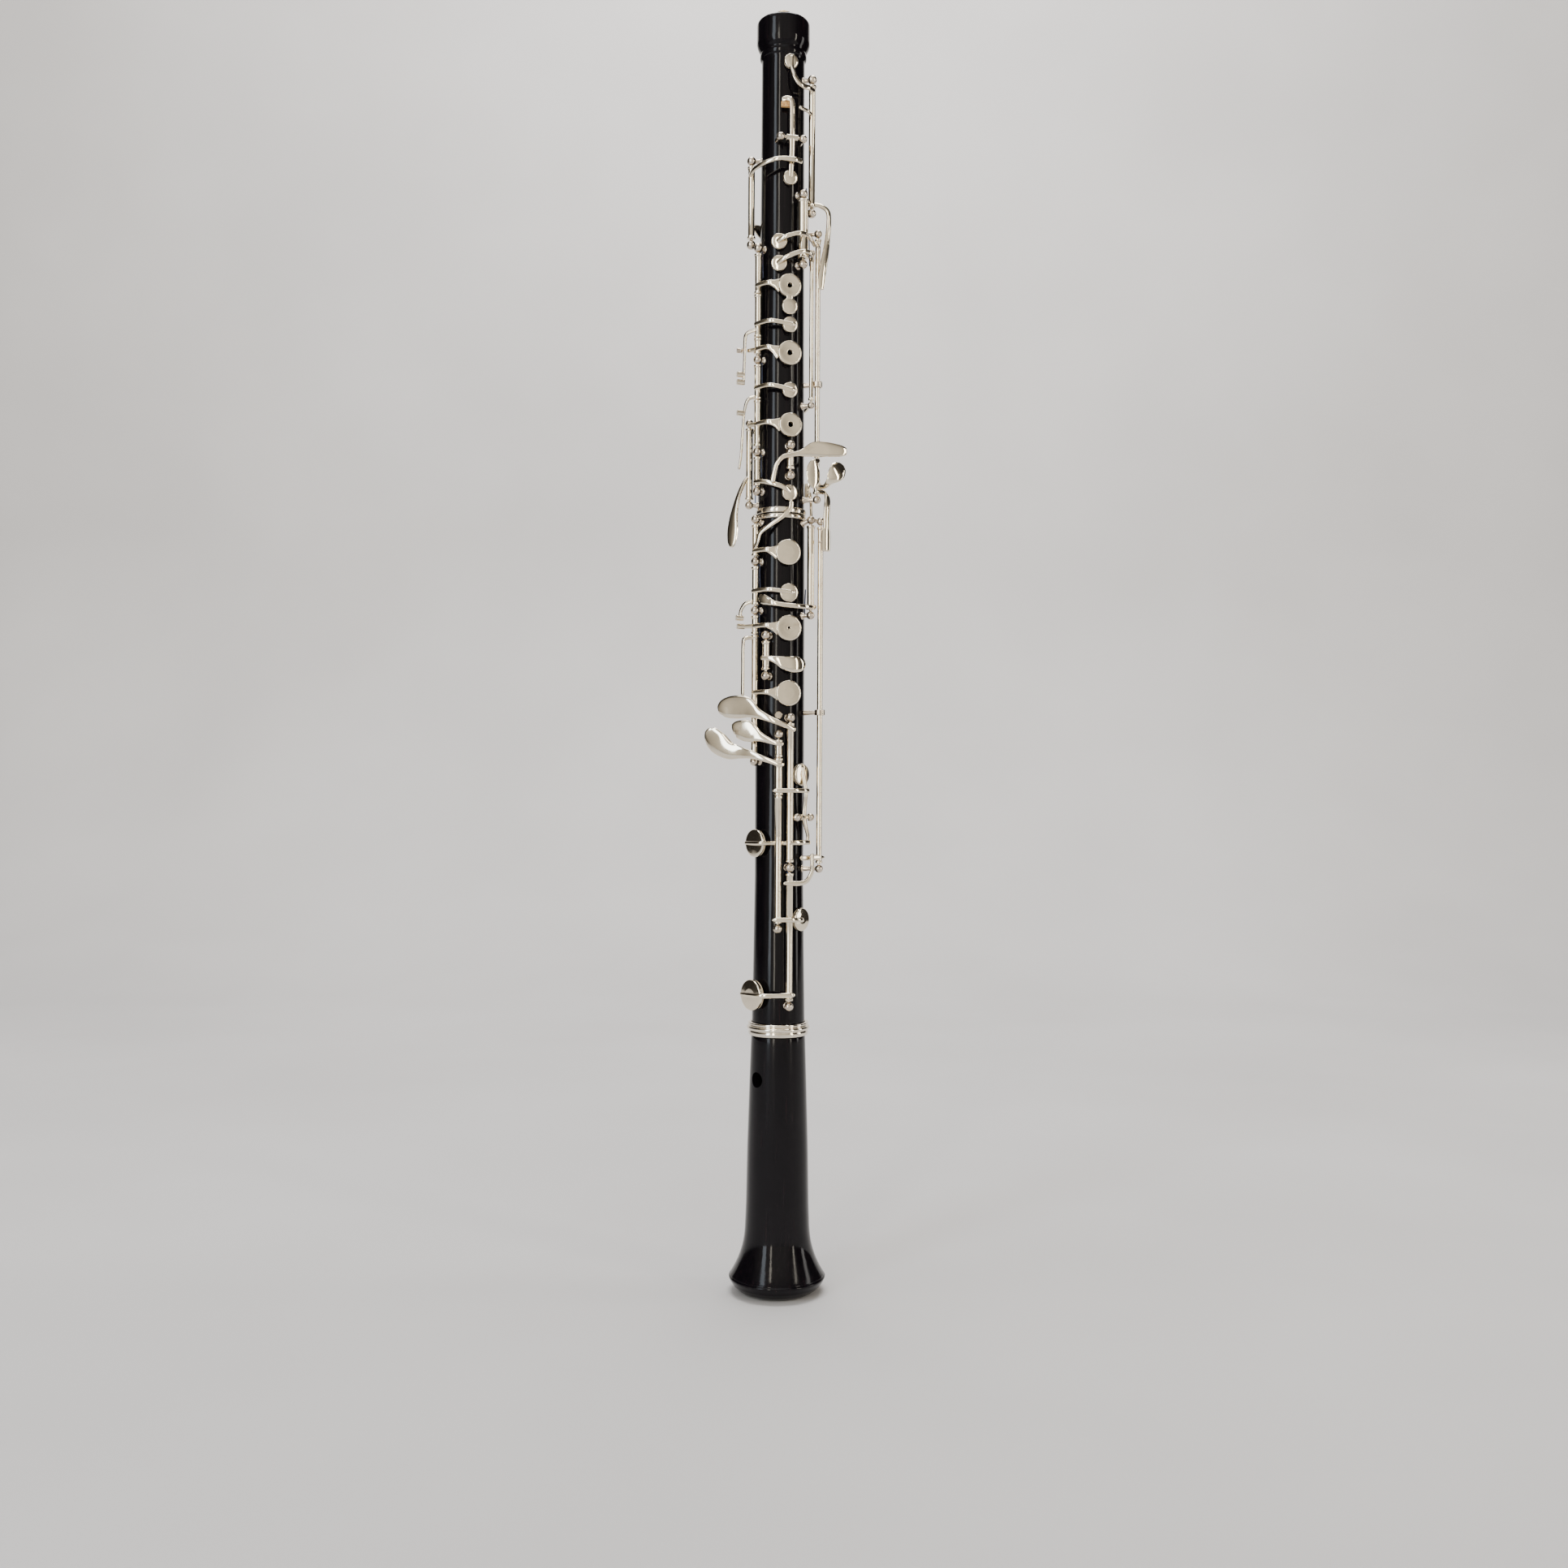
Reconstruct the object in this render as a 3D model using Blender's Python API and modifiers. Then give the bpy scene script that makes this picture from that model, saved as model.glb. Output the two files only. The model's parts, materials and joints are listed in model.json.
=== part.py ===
"""An oboe: three turned joints, their rings and corks, and hinged metal keywork on ball posts.

The instrument stands on +Z with the centre of the bell's mouth at the origin. Places on it are
given as an azimuth round the bore (0 on the finger line at -Y, positive towards +X), a radius from
the bore's axis and a height, in degrees and millimetres.
"""
from math import cos, pi, radians, sin, sqrt

import bmesh
import bpy
from mathutils import Matrix, Vector

MM = 0.001
GAP = 0.3

# Lengths along the bore
LENGTH = 590.0
BELL_TOP = 122.7
JOINT_PLANE = 356.9
TENON = 16.0
SOCKET_DEPTH = 17.0
REED_SOCKET_DEPTH = 22.0
REED_SOCKET_RADIUS = 3.3

# Outsides, as (radius, height) from the top down
CROWN = [(4.75, 588.4), (4.75, 585.6), (10.9, 585.6), (11.8, 585.2), (12.25, 584.2), (12.25, 575.0),
         (11.6, 573.2), (10.5, 571.3), (10.4, 570.9), (10.8, 570.4), (10.8, 568.4), (9.9, 567.4)]
UPPER_SIDE = [(10.0, 520.0), (10.35, 430.0), (10.7, 359.9)]
LOWER_SIDE = [(11.0, 353.9), (11.3, 250.0), (11.2, 190.0), (11.8, 148.0), (12.2, 124.9)]
BELL_SIDE = [(12.5, 117.3), (13.2, 95.0), (14.1, 65.0), (14.5, 40.0), (15.0, 27.0), (15.9, 21.0),
             (17.6, 15.6), (19.5, 11.4), (21.3, 8.2), (22.2, 6.9), (22.2, 6.0), (20.8, 3.6),
             (18.6, 1.3), (16.2, 0.0)]

# Bore radii, as (radius, height) from the bottom up
BELL_BORE = [(13.0, 0.0), (12.4, 8.0), (11.7, 20.0), (10.9, 50.0), (9.0, 104.0)]
LOWER_BORE = [(7.8, 105.4), (5.2, 339.6)]
UPPER_BORE = [(5.0, 340.9), (2.4, 567.0)]

BODY_STEPS = 18
ROUND_STEPS = 8
CUP_STEPS = 10

# Hinge lines, as (azimuth, radius)
SIDE_OCTAVE = (53.0, 14.4)
THUMB_OCTAVE = (-95.0, 14.6)
UPPER_TRILL = (28.5, 13.7)
LOWER_TRILL = (50.0, 14.9)
LEFT_LEVERS = (60.0, 17.0)
LEFT_STACK = (-68.5, 13.6)
TRILL_SPOON = (-95.0, 14.9)
G_SHARP = (2.7, 13.6)
RIGHT_STACK = (-68.0, 14.4)
SIDE_KEY = (48.5, 15.4)
F_KEY = (-41.4, 14.6)
LOW_B_ROD = (57.0, 19.2)
FOOT_OUTER = (3.6, 14.9)
FOOT_INNER = (-17.0, 14.9)

# Rockers turn about a cross pin, as (azimuth, radius, height)
OCTAVE_ROCKER = (2.0, 13.9, 527.0)
E_FLAT_ROCKER = (37.7, 13.8, 218.0)
ROCKER_HALF_SPAN = 5.3

TUBE_RADIUS = 1.55
THIN_TUBE_RADIUS = 1.2
PIN_RADIUS = 0.6
THIN_PIN_RADIUS = 0.45
RUNNING_GAP = 0.3
SLEEVE_RADIUS = 1.1
BALL_RADIUS = 2.1
STEM_RADIUS = 1.3
BARREL_RADIUS = 1.3
BARREL_LENGTH = 3.4
SIDE_POST_TOP = 354.2

PLATE_HEIGHT = 2.5
CUP_HEIGHT = 2.3
OPEN_LIFT = 1.5
LOW_C_LIFT = 1.7
LOW_B_LIFT = 2.2
CLOSED_LIFT = 0.35

COLLECTION = "oboe"
GUIDES = "oboe_guides"


# ---------------------------------------------------------------- places and directions

def outward(azimuth):
    angle = radians(azimuth)
    return Vector((sin(angle), -cos(angle), 0.0))


def sideways(azimuth):
    angle = radians(azimuth)
    return Vector((cos(angle), sin(angle), 0.0))


def at(azimuth, radius, height):
    """The point at an azimuth, a radius and a height, in metres."""
    return (outward(azimuth) * radius + Vector((0.0, 0.0, height))) * MM


def side_radius(height):
    """The wooden outside's radius at a height, read along its straight tapers."""
    points = UPPER_SIDE + LOWER_SIDE + BELL_SIDE[:4]
    for (upper, top), (lower, bottom) in zip(points, points[1:]):
        if bottom <= height <= top:
            return lower + (upper - lower) * (height - bottom) / (top - bottom)
    return points[0][0]


# ---------------------------------------------------------------- materials

def material(name, colour, roughness, metallic=0.0):
    made = bpy.data.materials.new(name)
    made.use_nodes = True
    made.diffuse_color = (*colour, 1.0)
    shader = made.node_tree.nodes["Principled BSDF"]
    shader.inputs["Base Color"].default_value = (*colour, 1.0)
    shader.inputs["Roughness"].default_value = roughness
    shader.inputs["Metallic"].default_value = metallic
    return made


def make_materials():
    return {
        "body": material("black_body", (0.012, 0.010, 0.013), 0.12),
        "key": material("nickel_keys", (0.72, 0.68, 0.60), 0.18, 1.0),
        "post": material("nickel_posts", (0.52, 0.48, 0.43), 0.30, 1.0),
        "ring": material("nickel_rings", (0.75, 0.70, 0.62), 0.20, 1.0),
        "cork": material("cork", (0.55, 0.36, 0.20), 0.85),
        "liner": material("brass_liner", (0.80, 0.58, 0.25), 0.25, 1.0),
    }


# ---------------------------------------------------------------- simple solids, as meshes

def add_guide(name, mesh):
    """Puts a mesh in the scene as a hidden guide that a Boolean can read."""
    guide = bpy.data.objects.new(name, mesh)
    guide.hide_render = True
    guide.display_type = "WIRE"
    bpy.data.collections[GUIDES].objects.link(guide)
    return guide


def mesh_of(shape, name="guide"):
    mesh = bpy.data.meshes.new(name)
    shape.to_mesh(mesh)
    shape.free()
    return add_guide(name, mesh)


def turning(axis, origin):
    """The matrix that carries +Z to an axis and the origin to a point."""
    return Matrix.Translation(origin) @ Vector((0, 0, 1)).rotation_difference(axis).to_matrix().to_4x4()


def rod(start, end, radius, end_radius=None, sides=ROUND_STEPS):
    """A round rod or a cone between two points in metres, with radii in millimetres."""
    length = (end - start).length
    far = radius if end_radius is None else end_radius
    place = turning((end - start).normalized(), (start + end) / 2)
    shape = bmesh.new()
    bmesh.ops.create_cone(shape, cap_ends=True, segments=sides, radius1=radius * MM,
                          radius2=far * MM, depth=length, matrix=place)
    return mesh_of(shape)


def ball(centre, radius=BALL_RADIUS):
    shape = bmesh.new()
    bmesh.ops.create_uvsphere(shape, u_segments=8, v_segments=4, radius=radius * MM,
                              matrix=Matrix.Translation(centre))
    return mesh_of(shape)


def turned(profile, axis=Vector((0, 0, 1)), origin=Vector((0, 0, 0)), steps=BODY_STEPS, closed=False):
    """A solid turned from (radius, height) points that run down its outer side."""
    corners = [Vector((radius * MM, 0.0, height * MM)) for radius, height in profile]
    edges = [(i, i + 1) for i in range(len(corners) - 1)]
    if closed:
        edges.append((len(corners) - 1, 0))
    outline = bpy.data.meshes.new("outline")
    outline.from_pydata(corners, edges, [])
    guide = add_guide("outline", outline)
    screw = guide.modifiers.new("screw", "SCREW")
    screw.steps = steps
    screw.render_steps = steps
    screw.use_merge_vertices = True
    screw.merge_threshold = 0.000001
    mesh = evaluated(guide)
    mesh.transform(turning(axis, origin))
    discard(guide)
    return add_guide("turned", mesh)


def broad_sides(stations, runs):
    """The way an arm's broad side faces at each station: outward, or to the azimuth given last."""
    ups = []
    for station, along in zip(stations, runs):
        up = outward(station[5] if len(station) > 5 else station[0])
        up = up - along * up.dot(along)
        ups.append(up.normalized() if up.length > 0.55 else None)
    known = [i for i, up in enumerate(ups) if up is not None]
    if not known:
        return [(Vector((0, 0, 1)) - along * along.z).normalized() for along in runs]
    filled = list(ups)
    for i, up in enumerate(ups):
        if up is None:
            near = min(known, key=lambda k: abs(k - i))
            filled[i] = runs[near].rotation_difference(runs[i]) @ ups[near]
    return filled


def strap(stations, sides=6):
    """A lofted arm through (azimuth, radius, height, half width, half thickness) stations."""
    centres = [at(*station[:3]) for station in stations]
    last = len(centres) - 1
    runs = [(centres[min(i + 1, last)] - centres[max(i - 1, 0)]).normalized() for i in range(last + 1)]
    ups = broad_sides(stations, runs)
    shape = bmesh.new()
    rings = []
    for i, station in enumerate(stations):
        up = ups[i]
        across = up.cross(runs[i])
        half_width, half_thickness = station[3] * MM, station[4] * MM
        ring = []
        for k in range(sides):
            turn = 2 * pi * k / sides
            ring.append(shape.verts.new(centres[i] + across * (half_width * cos(turn))
                                        + up * (half_thickness * sin(turn))))
        rings.append(ring)
    for near, far in zip(rings, rings[1:]):
        for k in range(sides):
            n = (k + 1) % sides
            shape.faces.new((near[k], near[n], far[n], far[k]))
    shape.faces.new(list(reversed(rings[0])))
    shape.faces.new(rings[-1])
    bmesh.ops.recalc_face_normals(shape, faces=shape.faces)
    return mesh_of(shape)


def box(centre, axis_x, axis_y, size):
    """A box centred on a point in metres, its first two axes given, with sizes in millimetres."""
    axis_z = axis_x.cross(axis_y)
    frame = Matrix((axis_x, axis_y, axis_z)).transposed().to_4x4()
    place = Matrix.Translation(centre) @ frame @ Matrix.Diagonal((*[s * MM for s in size], 1.0))
    shape = bmesh.new()
    bmesh.ops.create_cube(shape, size=1.0, matrix=place)
    return mesh_of(shape)


# ---------------------------------------------------------------- joining pieces into one object

def evaluated(item):
    bpy.context.view_layer.update()
    graph = bpy.context.evaluated_depsgraph_get()
    return bpy.data.meshes.new_from_object(item.evaluated_get(graph))


def discard(item):
    mesh = item.data
    bpy.data.objects.remove(item)
    if mesh.users == 0:
        bpy.data.meshes.remove(mesh)


def gather(pieces, name):
    """Moves guides into a collection of their own and hides it from the render."""
    group = bpy.data.collections.new(name)
    bpy.data.collections[GUIDES].children.link(group)
    for piece in pieces:
        bpy.data.collections[GUIDES].objects.unlink(piece)
        group.objects.link(piece)
    return group


def combine(base, pieces, operation):
    """The mesh of a base with pieces joined to it or cut from it."""
    if not pieces:
        return base
    group = gather(pieces, "operands")
    change = base.modifiers.new("combine", "BOOLEAN")
    change.operation = operation
    change.operand_type = "COLLECTION"
    change.collection = group
    change.solver = "EXACT"
    mesh = evaluated(base)
    discard(base)
    for piece in pieces:
        discard(piece)
    bpy.data.collections.remove(group)
    return add_guide("combined", mesh)


def clean(mesh):
    """Merges the slivers that a Boolean leaves, so each body stays closed."""
    shape = bmesh.new()
    shape.from_mesh(mesh)
    bmesh.ops.remove_doubles(shape, verts=shape.verts, dist=0.000001)
    bmesh.ops.dissolve_degenerate(shape, edges=shape.edges, dist=0.000001)
    bmesh.ops.triangulate(shape, faces=shape.faces)
    shape.to_mesh(mesh)
    shape.free()


def finish(name, pieces, finish_material, cutters=(), pivot=None):
    """Joins pieces, cuts them, and makes the named object with its origin on its hinge."""
    body = combine(pieces[0], pieces[1:], "UNION")
    body = combine(body, list(cutters), "DIFFERENCE")
    mesh = body.data.copy()
    discard(body)
    clean(mesh)
    mesh.name = name
    mesh.materials.clear()
    mesh.materials.append(finish_material)
    mesh.shade_smooth()
    mesh.set_sharp_from_angle(angle=radians(40))
    item = bpy.data.objects.new(name, mesh)
    if pivot is not None:
        mesh.transform(Matrix.Translation(-pivot))
        item.location = pivot
    bpy.data.collections[COLLECTION].objects.link(item)
    return item


# ---------------------------------------------------------------- keywork building blocks

def tube(hinge, low, high, radius=TUBE_RADIUS):
    return rod(at(*hinge, low), at(*hinge, high), radius)


def tube_bore(hinge, low, high, pin=PIN_RADIUS):
    return rod(at(*hinge, low - 1.0), at(*hinge, high + 1.0), pin + RUNNING_GAP, sides=ROUND_STEPS)


def stem(hinge, height, foot_height=None, foot_azimuth=None):
    """A post's stem from just over the wood up to its ball."""
    azimuth, radius = hinge
    foot = height if foot_height is None else foot_height
    side = azimuth if foot_azimuth is None else foot_azimuth
    end = at(azimuth, radius - 0.6, height)
    straight = (end - at(side, side_radius(foot), foot)).normalized().dot(outward(side))
    tilt = sqrt(max(0.0, 1.0 - straight * straight))
    start = at(side, side_radius(foot) + GAP + STEM_RADIUS * tilt, foot)
    return rod(start, end, STEM_RADIUS, 0.95, sides=6)


def posts(name, hinge, heights, pin, look, feet=None, ball_radius=BALL_RADIUS, feet_azimuth=None):
    """Ball posts in a line with the steel pin that the tubes turn on, as one piece."""
    feet = heights if feet is None else feet
    pieces = [rod(at(*hinge, min(heights)), at(*hinge, max(heights)), pin, sides=ROUND_STEPS)]
    for height, foot in zip(heights, feet):
        pieces.append(ball(at(*hinge, height), ball_radius))
        pieces.append(stem(hinge, height, foot, feet_azimuth))
    return finish(name, pieces, look)


def rocker_posts(name, rocker, look):
    """Two ball posts across the body with a rocker's cross pin between them."""
    azimuth, radius, height = rocker
    centre = at(*rocker)
    span = sideways(azimuth) * (ROCKER_HALF_SPAN * MM)
    down = outward(azimuth)
    pieces = [rod(centre - span, centre + span, PIN_RADIUS)]
    for side in (-1, 1):
        ball_centre = centre + span * side
        reach = sqrt((side_radius(height) + GAP * 2) ** 2 - ROCKER_HALF_SPAN ** 2)
        foot = ball_centre - down * ((radius - reach - 0.15) * MM)
        pieces.append(ball(ball_centre, 1.9))
        pieces.append(rod(foot, ball_centre, 1.1, 0.9, sides=6))
    return finish(name, pieces, look)


def cup(azimuth, height, radius, lift, thickness=CUP_HEIGHT):
    """A padded cup whose flat underside stands over its tone hole."""
    base = side_radius(height) + lift
    profile = [(0.0, thickness), (radius * 0.84, thickness), (radius, thickness - 0.5),
               (radius, 0.0), (0.0, 0.0)]
    return turned(profile, outward(azimuth), at(azimuth, base, height), CUP_STEPS)


def cup_top(height, lift, thickness=CUP_HEIGHT):
    return side_radius(height) + lift + thickness


def level_arm(hinge, height, cup_azimuth, cup_height, over, half_width=1.0):
    """An arm from over a hinge tube across to the top of a small cup."""
    azimuth, radius = hinge
    crown = radius + TUBE_RADIUS - 0.1
    middle = (azimuth + cup_azimuth) / 2
    return strap([(azimuth, crown, height, half_width, 0.7),
                  (middle, max(crown, over) + 0.1, height, half_width, 0.7),
                  (cup_azimuth, over + 0.2, cup_height, half_width, 0.65)])


# ---------------------------------------------------------------- the wooden joints

def tone_hole(azimuth, height, radius):
    return rod(at(azimuth, 2.0, height), at(azimuth, side_radius(height) + 4.0, height), radius, sides=6)


def tenon_profile(root, foot, groove, lip):
    """A tenon below a shoulder: a groove for the cork between two lips."""
    return [(lip, root), (lip, root - 1.2), (groove, root - 1.2), (groove, foot + 1.6), (lip, foot + 1.6),
            (lip, foot)]


def upper_joint(look):
    foot = JOINT_PLANE + GAP / 2 - TENON
    outside = CROWN + UPPER_SIDE + [(10.7, JOINT_PLANE + GAP / 2)]
    outside += tenon_profile(JOINT_PLANE + GAP / 2, foot, 6.6, 7.9)
    inside = UPPER_BORE + [(REED_SOCKET_RADIUS + 0.9, UPPER_BORE[-1][1] + 1.0),
                           (REED_SOCKET_RADIUS + 0.9, CROWN[0][1])]
    body = turned(outside + [(UPPER_BORE[0][0], foot)] + inside[1:], closed=True)
    holes = [tone_hole(2.4, 562.9, 0.9), tone_hole(2.0, 509.7, 0.9), tone_hole(-22.0, 480.4, 1.7),
             tone_hole(-22.0, 470.4, 1.7), tone_hole(0.0, 459.9, 2.4), tone_hole(1.0, 442.1, 1.7),
             tone_hole(0.6, 429.2, 2.6), tone_hole(1.1, 412.3, 1.9), tone_hole(2.5, 396.5, 2.8),
             tone_hole(3.1, 365.8, 2.0), tone_hole(78.0, 369.2, 1.9)]
    return finish("upper_joint", [body], look, holes)


def lower_joint(look):
    top = JOINT_PLANE - GAP / 2
    foot = BELL_TOP + GAP / 2 - TENON
    outside = [(11.0, top)] + LOWER_SIDE + [(12.2, BELL_TOP + GAP / 2)]
    outside += tenon_profile(BELL_TOP + GAP / 2, foot, 9.0, 10.3)
    inside = [(LOWER_BORE[0][0], foot), (LOWER_BORE[1][0], top - SOCKET_DEPTH), (8.2, top - SOCKET_DEPTH),
              (8.2, top)]
    body = turned(outside + inside, closed=True)
    holes = [tone_hole(-1.4, 338.4, 2.8), tone_hole(0.5, 320.0, 2.2), tone_hole(0.6, 304.0, 3.0),
             tone_hole(0.4, 274.4, 3.2), tone_hole(35.0, 237.5, 2.8), tone_hole(-65.0, 206.1, 3.8),
             tone_hole(35.5, 171.3, 3.4), tone_hole(-64.5, 137.0, 4.5)]
    return finish("lower_joint", [body], look, holes)


def bell(look):
    top = BELL_TOP - GAP / 2
    outside = [(12.2, top), (12.2, 117.6)] + BELL_SIDE
    socket = [(BELL_BORE[-1][0], top - SOCKET_DEPTH), (10.6, top - SOCKET_DEPTH), (10.6, top)]
    body = turned(outside + BELL_BORE[:-1] + socket, closed=True)
    vent = rod(at(-63.7, 5.0, 98.0), at(-63.7, 18.0, 98.0), 3.7, sides=12)
    return finish("bell", [body], look, [vent])


def sleeve(name, inner, outer, low, high, look):
    profile = [(outer, high), (outer, low), (inner, low), (inner, high)]
    return finish(name, [turned(profile, closed=True)], look)


def trim(materials):
    sleeve("reed_socket_liner", REED_SOCKET_RADIUS, REED_SOCKET_RADIUS + 0.6,
           LENGTH - REED_SOCKET_DEPTH + 0.6, LENGTH, materials["liner"])
    sleeve("upper_tenon_cork", 6.9, 7.9, JOINT_PLANE - TENON + 2.2, JOINT_PLANE - 1.5, materials["cork"])
    sleeve("lower_tenon_cork", 9.3, 10.3, BELL_TOP - TENON + 2.2, BELL_TOP - 1.5, materials["cork"])
    for name, low, high in (("upper_joint_ring", JOINT_PLANE + 0.25, 359.6),
                            ("socket_ring", 354.6, JOINT_PLANE - 0.25)):
        middle = (low + high) / 2
        profile = [(11.6, high), (11.85, middle), (11.6, low), (11.15, low), (11.15, high)]
        finish(name, [turned(profile, closed=True)], materials["ring"])
    profile = [(13.5, 123.8), (13.9, 123.3), (13.9, 122.9), (13.5, 122.3), (14.3, 121.8), (14.5, 121.2),
               (14.3, 120.6), (13.5, 120.1), (13.8, 119.3), (13.8, 118.3), (13.5, 117.8), (12.55, 117.8),
               (12.55, 123.8)]
    finish("bell_ring", [turned(profile, closed=True)], materials["ring"])


# ---------------------------------------------------------------- upper joint keys

def second_octave_key(look):
    """The side octave: a touch low on the right lifts the cup nearest the crown."""
    arm = strap([(53, 15.2, 552.0, 1.1, 0.8), (36, 15.3, 551.4, 1.1, 0.8), (18.6, 15.2, 551.3, 1.2, 0.8),
                 (7, 14.6, 554.3, 1.1, 0.7), (2.4, 12.9, 560.0, 1.0, 0.6), (2.4, 12.6, 564.6, 0.9, 0.5)])
    touch = strap([(53, 14.4, 499.6, 1.0, 0.9), (59, 18, 499.2, 1.0, 0.9, 45),
                   (63, 21.3, 496.8, 1.1, 0.9, 30), (63, 21.8, 491, 1.2, 0.9, 20),
                   (60.5, 21.2, 482, 1.4, 0.9, 12), (54.5, 20.4, 472, 1.8, 0.8, 8),
                   (50.5, 19.8, 464, 1.9, 0.7, 6), (49.5, 19.6, 460, 1.5, 0.6, 6)])
    finger = strap([(53, 14.4, 540.6, 0.8, 0.8), (34, 14.9, 540.8, 0.8, 0.7), (17, 14.6, 541.1, 0.8, 0.7)])
    pieces = [tube(SIDE_OCTAVE, 498.2, 554.4), arm, touch, finger, cup(2.4, 562.9, 3.4, CLOSED_LIFT)]
    finish("second_octave_key", pieces, look, [tube_bore(SIDE_OCTAVE, 498.2, 554.4)], at(*SIDE_OCTAVE, 526))


def first_octave_key(look):
    """A rocker on a cross pin: its upper end goes down as the cup at its lower end lifts."""
    azimuth, height = OCTAVE_ROCKER[0], OCTAVE_ROCKER[2]
    lever = strap([(-16, 13.2, 544.4, 1.1, 0.6), (-6, 13.9, 544.8, 1.2, 0.6), (1, 14.4, 543.0, 1.2, 0.7),
                   (azimuth, 14.4, 536.5, 1.2, 0.7), (azimuth, 14.2, height, 1.3, 0.9),
                   (azimuth, 13.6, 518, 1.2, 0.7), (azimuth, 12.5, 509.9, 1.0, 0.5)])
    half = sideways(azimuth) * (2.7 * MM)
    cross = rod(at(*OCTAVE_ROCKER) - half, at(*OCTAVE_ROCKER) + half, 1.4)
    bore = rod(at(*OCTAVE_ROCKER) - half * 2, at(*OCTAVE_ROCKER) + half * 2, PIN_RADIUS + RUNNING_GAP)
    finish("first_octave_key", [cross, lever, cup(azimuth, 509.7, 3.4, CLOSED_LIFT)], look, [bore],
           at(*OCTAVE_ROCKER))


def thumb_octave_key(look):
    """The thumb plate behind, with an arm that holds the first octave's rocker shut."""
    arm = strap([(-95, 15.4, 513.6, 1.0, 0.8), (-72, 15.9, 514.2, 1.0, 0.7), (-48, 16.2, 515.1, 1.0, 0.7),
                 (-22, 16.3, 516.3, 1.0, 0.7), (2, 16.2, 516.3, 1.1, 0.7), (17, 15.7, 516.2, 1.1, 0.7)])
    plate = strap([(-95, 14.6, 494, 1.2, 0.9), (-120, 14.3, 493.4, 1.4, 0.8), (-145, 13.8, 492.4, 3.0, 0.7),
                   (-168, 13.4, 492, 5.0, 0.7), (170, 13.4, 492, 5.0, 0.7), (152, 13.6, 492.2, 3.0, 0.7)])
    pieces = [tube(THUMB_OCTAVE, 484.6, 517.9), arm, plate]
    finish("thumb_octave_key", pieces, look, [tube_bore(THUMB_OCTAVE, 484.6, 517.9)], at(*THUMB_OCTAVE, 500))


def upper_trill_key(look):
    arm = strap([(-24.6, 13.15, 480.1, 1.0, 0.6), (-8, 15.0, 481.6, 1.0, 0.7), (12, 16.1, 483.2, 1.0, 0.7),
                 (30, 15.9, 483.5, 1.0, 0.8), (42, 16.0, 482.0, 1.0, 0.7), (52.5, 15.9, 480.5, 0.9, 0.6)])
    pieces = [tube(UPPER_TRILL, 473.2, 500.0, 2.35), arm, cup(-22, 480.4, 3.7, CLOSED_LIFT)]
    finish("upper_trill_key", pieces, look, [tube_bore(UPPER_TRILL, 473.2, 500.0)], at(*UPPER_TRILL, 486))


def lower_trill_key(look):
    """A long thin rod: the cup's arm at its top and a lever round the back at its foot."""
    arm = strap([(-24, 13.1, 470.2, 1.0, 0.6), (-8, 15.2, 472.0, 1.0, 0.7), (10, 16.8, 474.2, 1.0, 0.7),
                 (26, 17.5, 475.2, 0.9, 0.7), (38, 17.2, 474.6, 0.9, 0.7), (50, 15.3, 473.2, 0.9, 0.8)])
    lever = strap([(50, 14.9, 411.4, 0.9, 0.9), (75, 13.9, 410.4, 0.9, 0.7), (110, 13.4, 408, 0.9, 0.7),
                   (145, 13.3, 405, 0.9, 0.7), (171, 13.4, 402.6, 1.0, 0.7)])
    pieces = [tube(LOWER_TRILL, 409.2, 474.6, 0.95), arm, lever, cup(-22, 470.4, 3.7, CLOSED_LIFT)]
    bore = rod(at(*LOWER_TRILL, 408), at(*LOWER_TRILL, 476), 0.6)
    finish("lower_trill_key", pieces, look, [bore], at(*LOWER_TRILL, 442))


def left_trill_lever(look):
    """The long rod on the right: an oval touch at its foot and a finger on the upper trill's tail."""
    neck = strap([(60, 17.3, 381.5, 1.2, 0.9), (50, 18.8, 381.3, 1.1, 0.8), (39, 18.9, 379.9, 1.6, 0.7)])
    oval = strap([(37, 18.8, 380.2, 1.6, 0.6, 8), (36.5, 18.7, 377.7, 2.9, 0.7, 8),
                  (36, 18.7, 374, 3.4, 0.7, 8), (36.5, 18.8, 370.3, 2.7, 0.6, 8),
                  (37, 18.8, 368.2, 1.2, 0.5, 8)])
    finger = strap([(60, 17.6, 480.4, 1.1, 0.8), (51, 17.8, 480.4, 1.1, 0.6), (44, 17.9, 480.4, 1.0, 0.6)])
    pieces = [tube(LEFT_LEVERS, 372.3, 483.9, THIN_TUBE_RADIUS), neck, oval, finger]
    bore = tube_bore(LEFT_LEVERS, 372.3, 483.9, THIN_PIN_RADIUS)
    finish("left_trill_lever", pieces, look, [bore], at(*LEFT_LEVERS, 428))


def finger_plate(azimuth, height, radius, hinge, arm_height):
    """An open finger plate with the arm that widens into its rim."""
    top = cup_top(height, OPEN_LIFT, PLATE_HEIGHT)
    reach = radius / top * 57.3
    arm = strap([(hinge[0], hinge[1] + 0.9, arm_height, 1.1, 0.9),
                 (hinge[0] * 0.62, top + 0.2, arm_height, 1.1, 0.7),
                 (azimuth - reach * 1.25, top - 0.5, (arm_height + height) / 2, 1.6, 0.6),
                 (azimuth - reach * 0.75, top - 0.7, height, 2.6, 0.5)])
    return [arm, cup(azimuth, height, radius, OPEN_LIFT, PLATE_HEIGHT)]


def vent_cutter(azimuth, height, radius):
    return rod(at(azimuth, 9.0, height), at(azimuth, 19.0, height), radius, sides=6)


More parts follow.
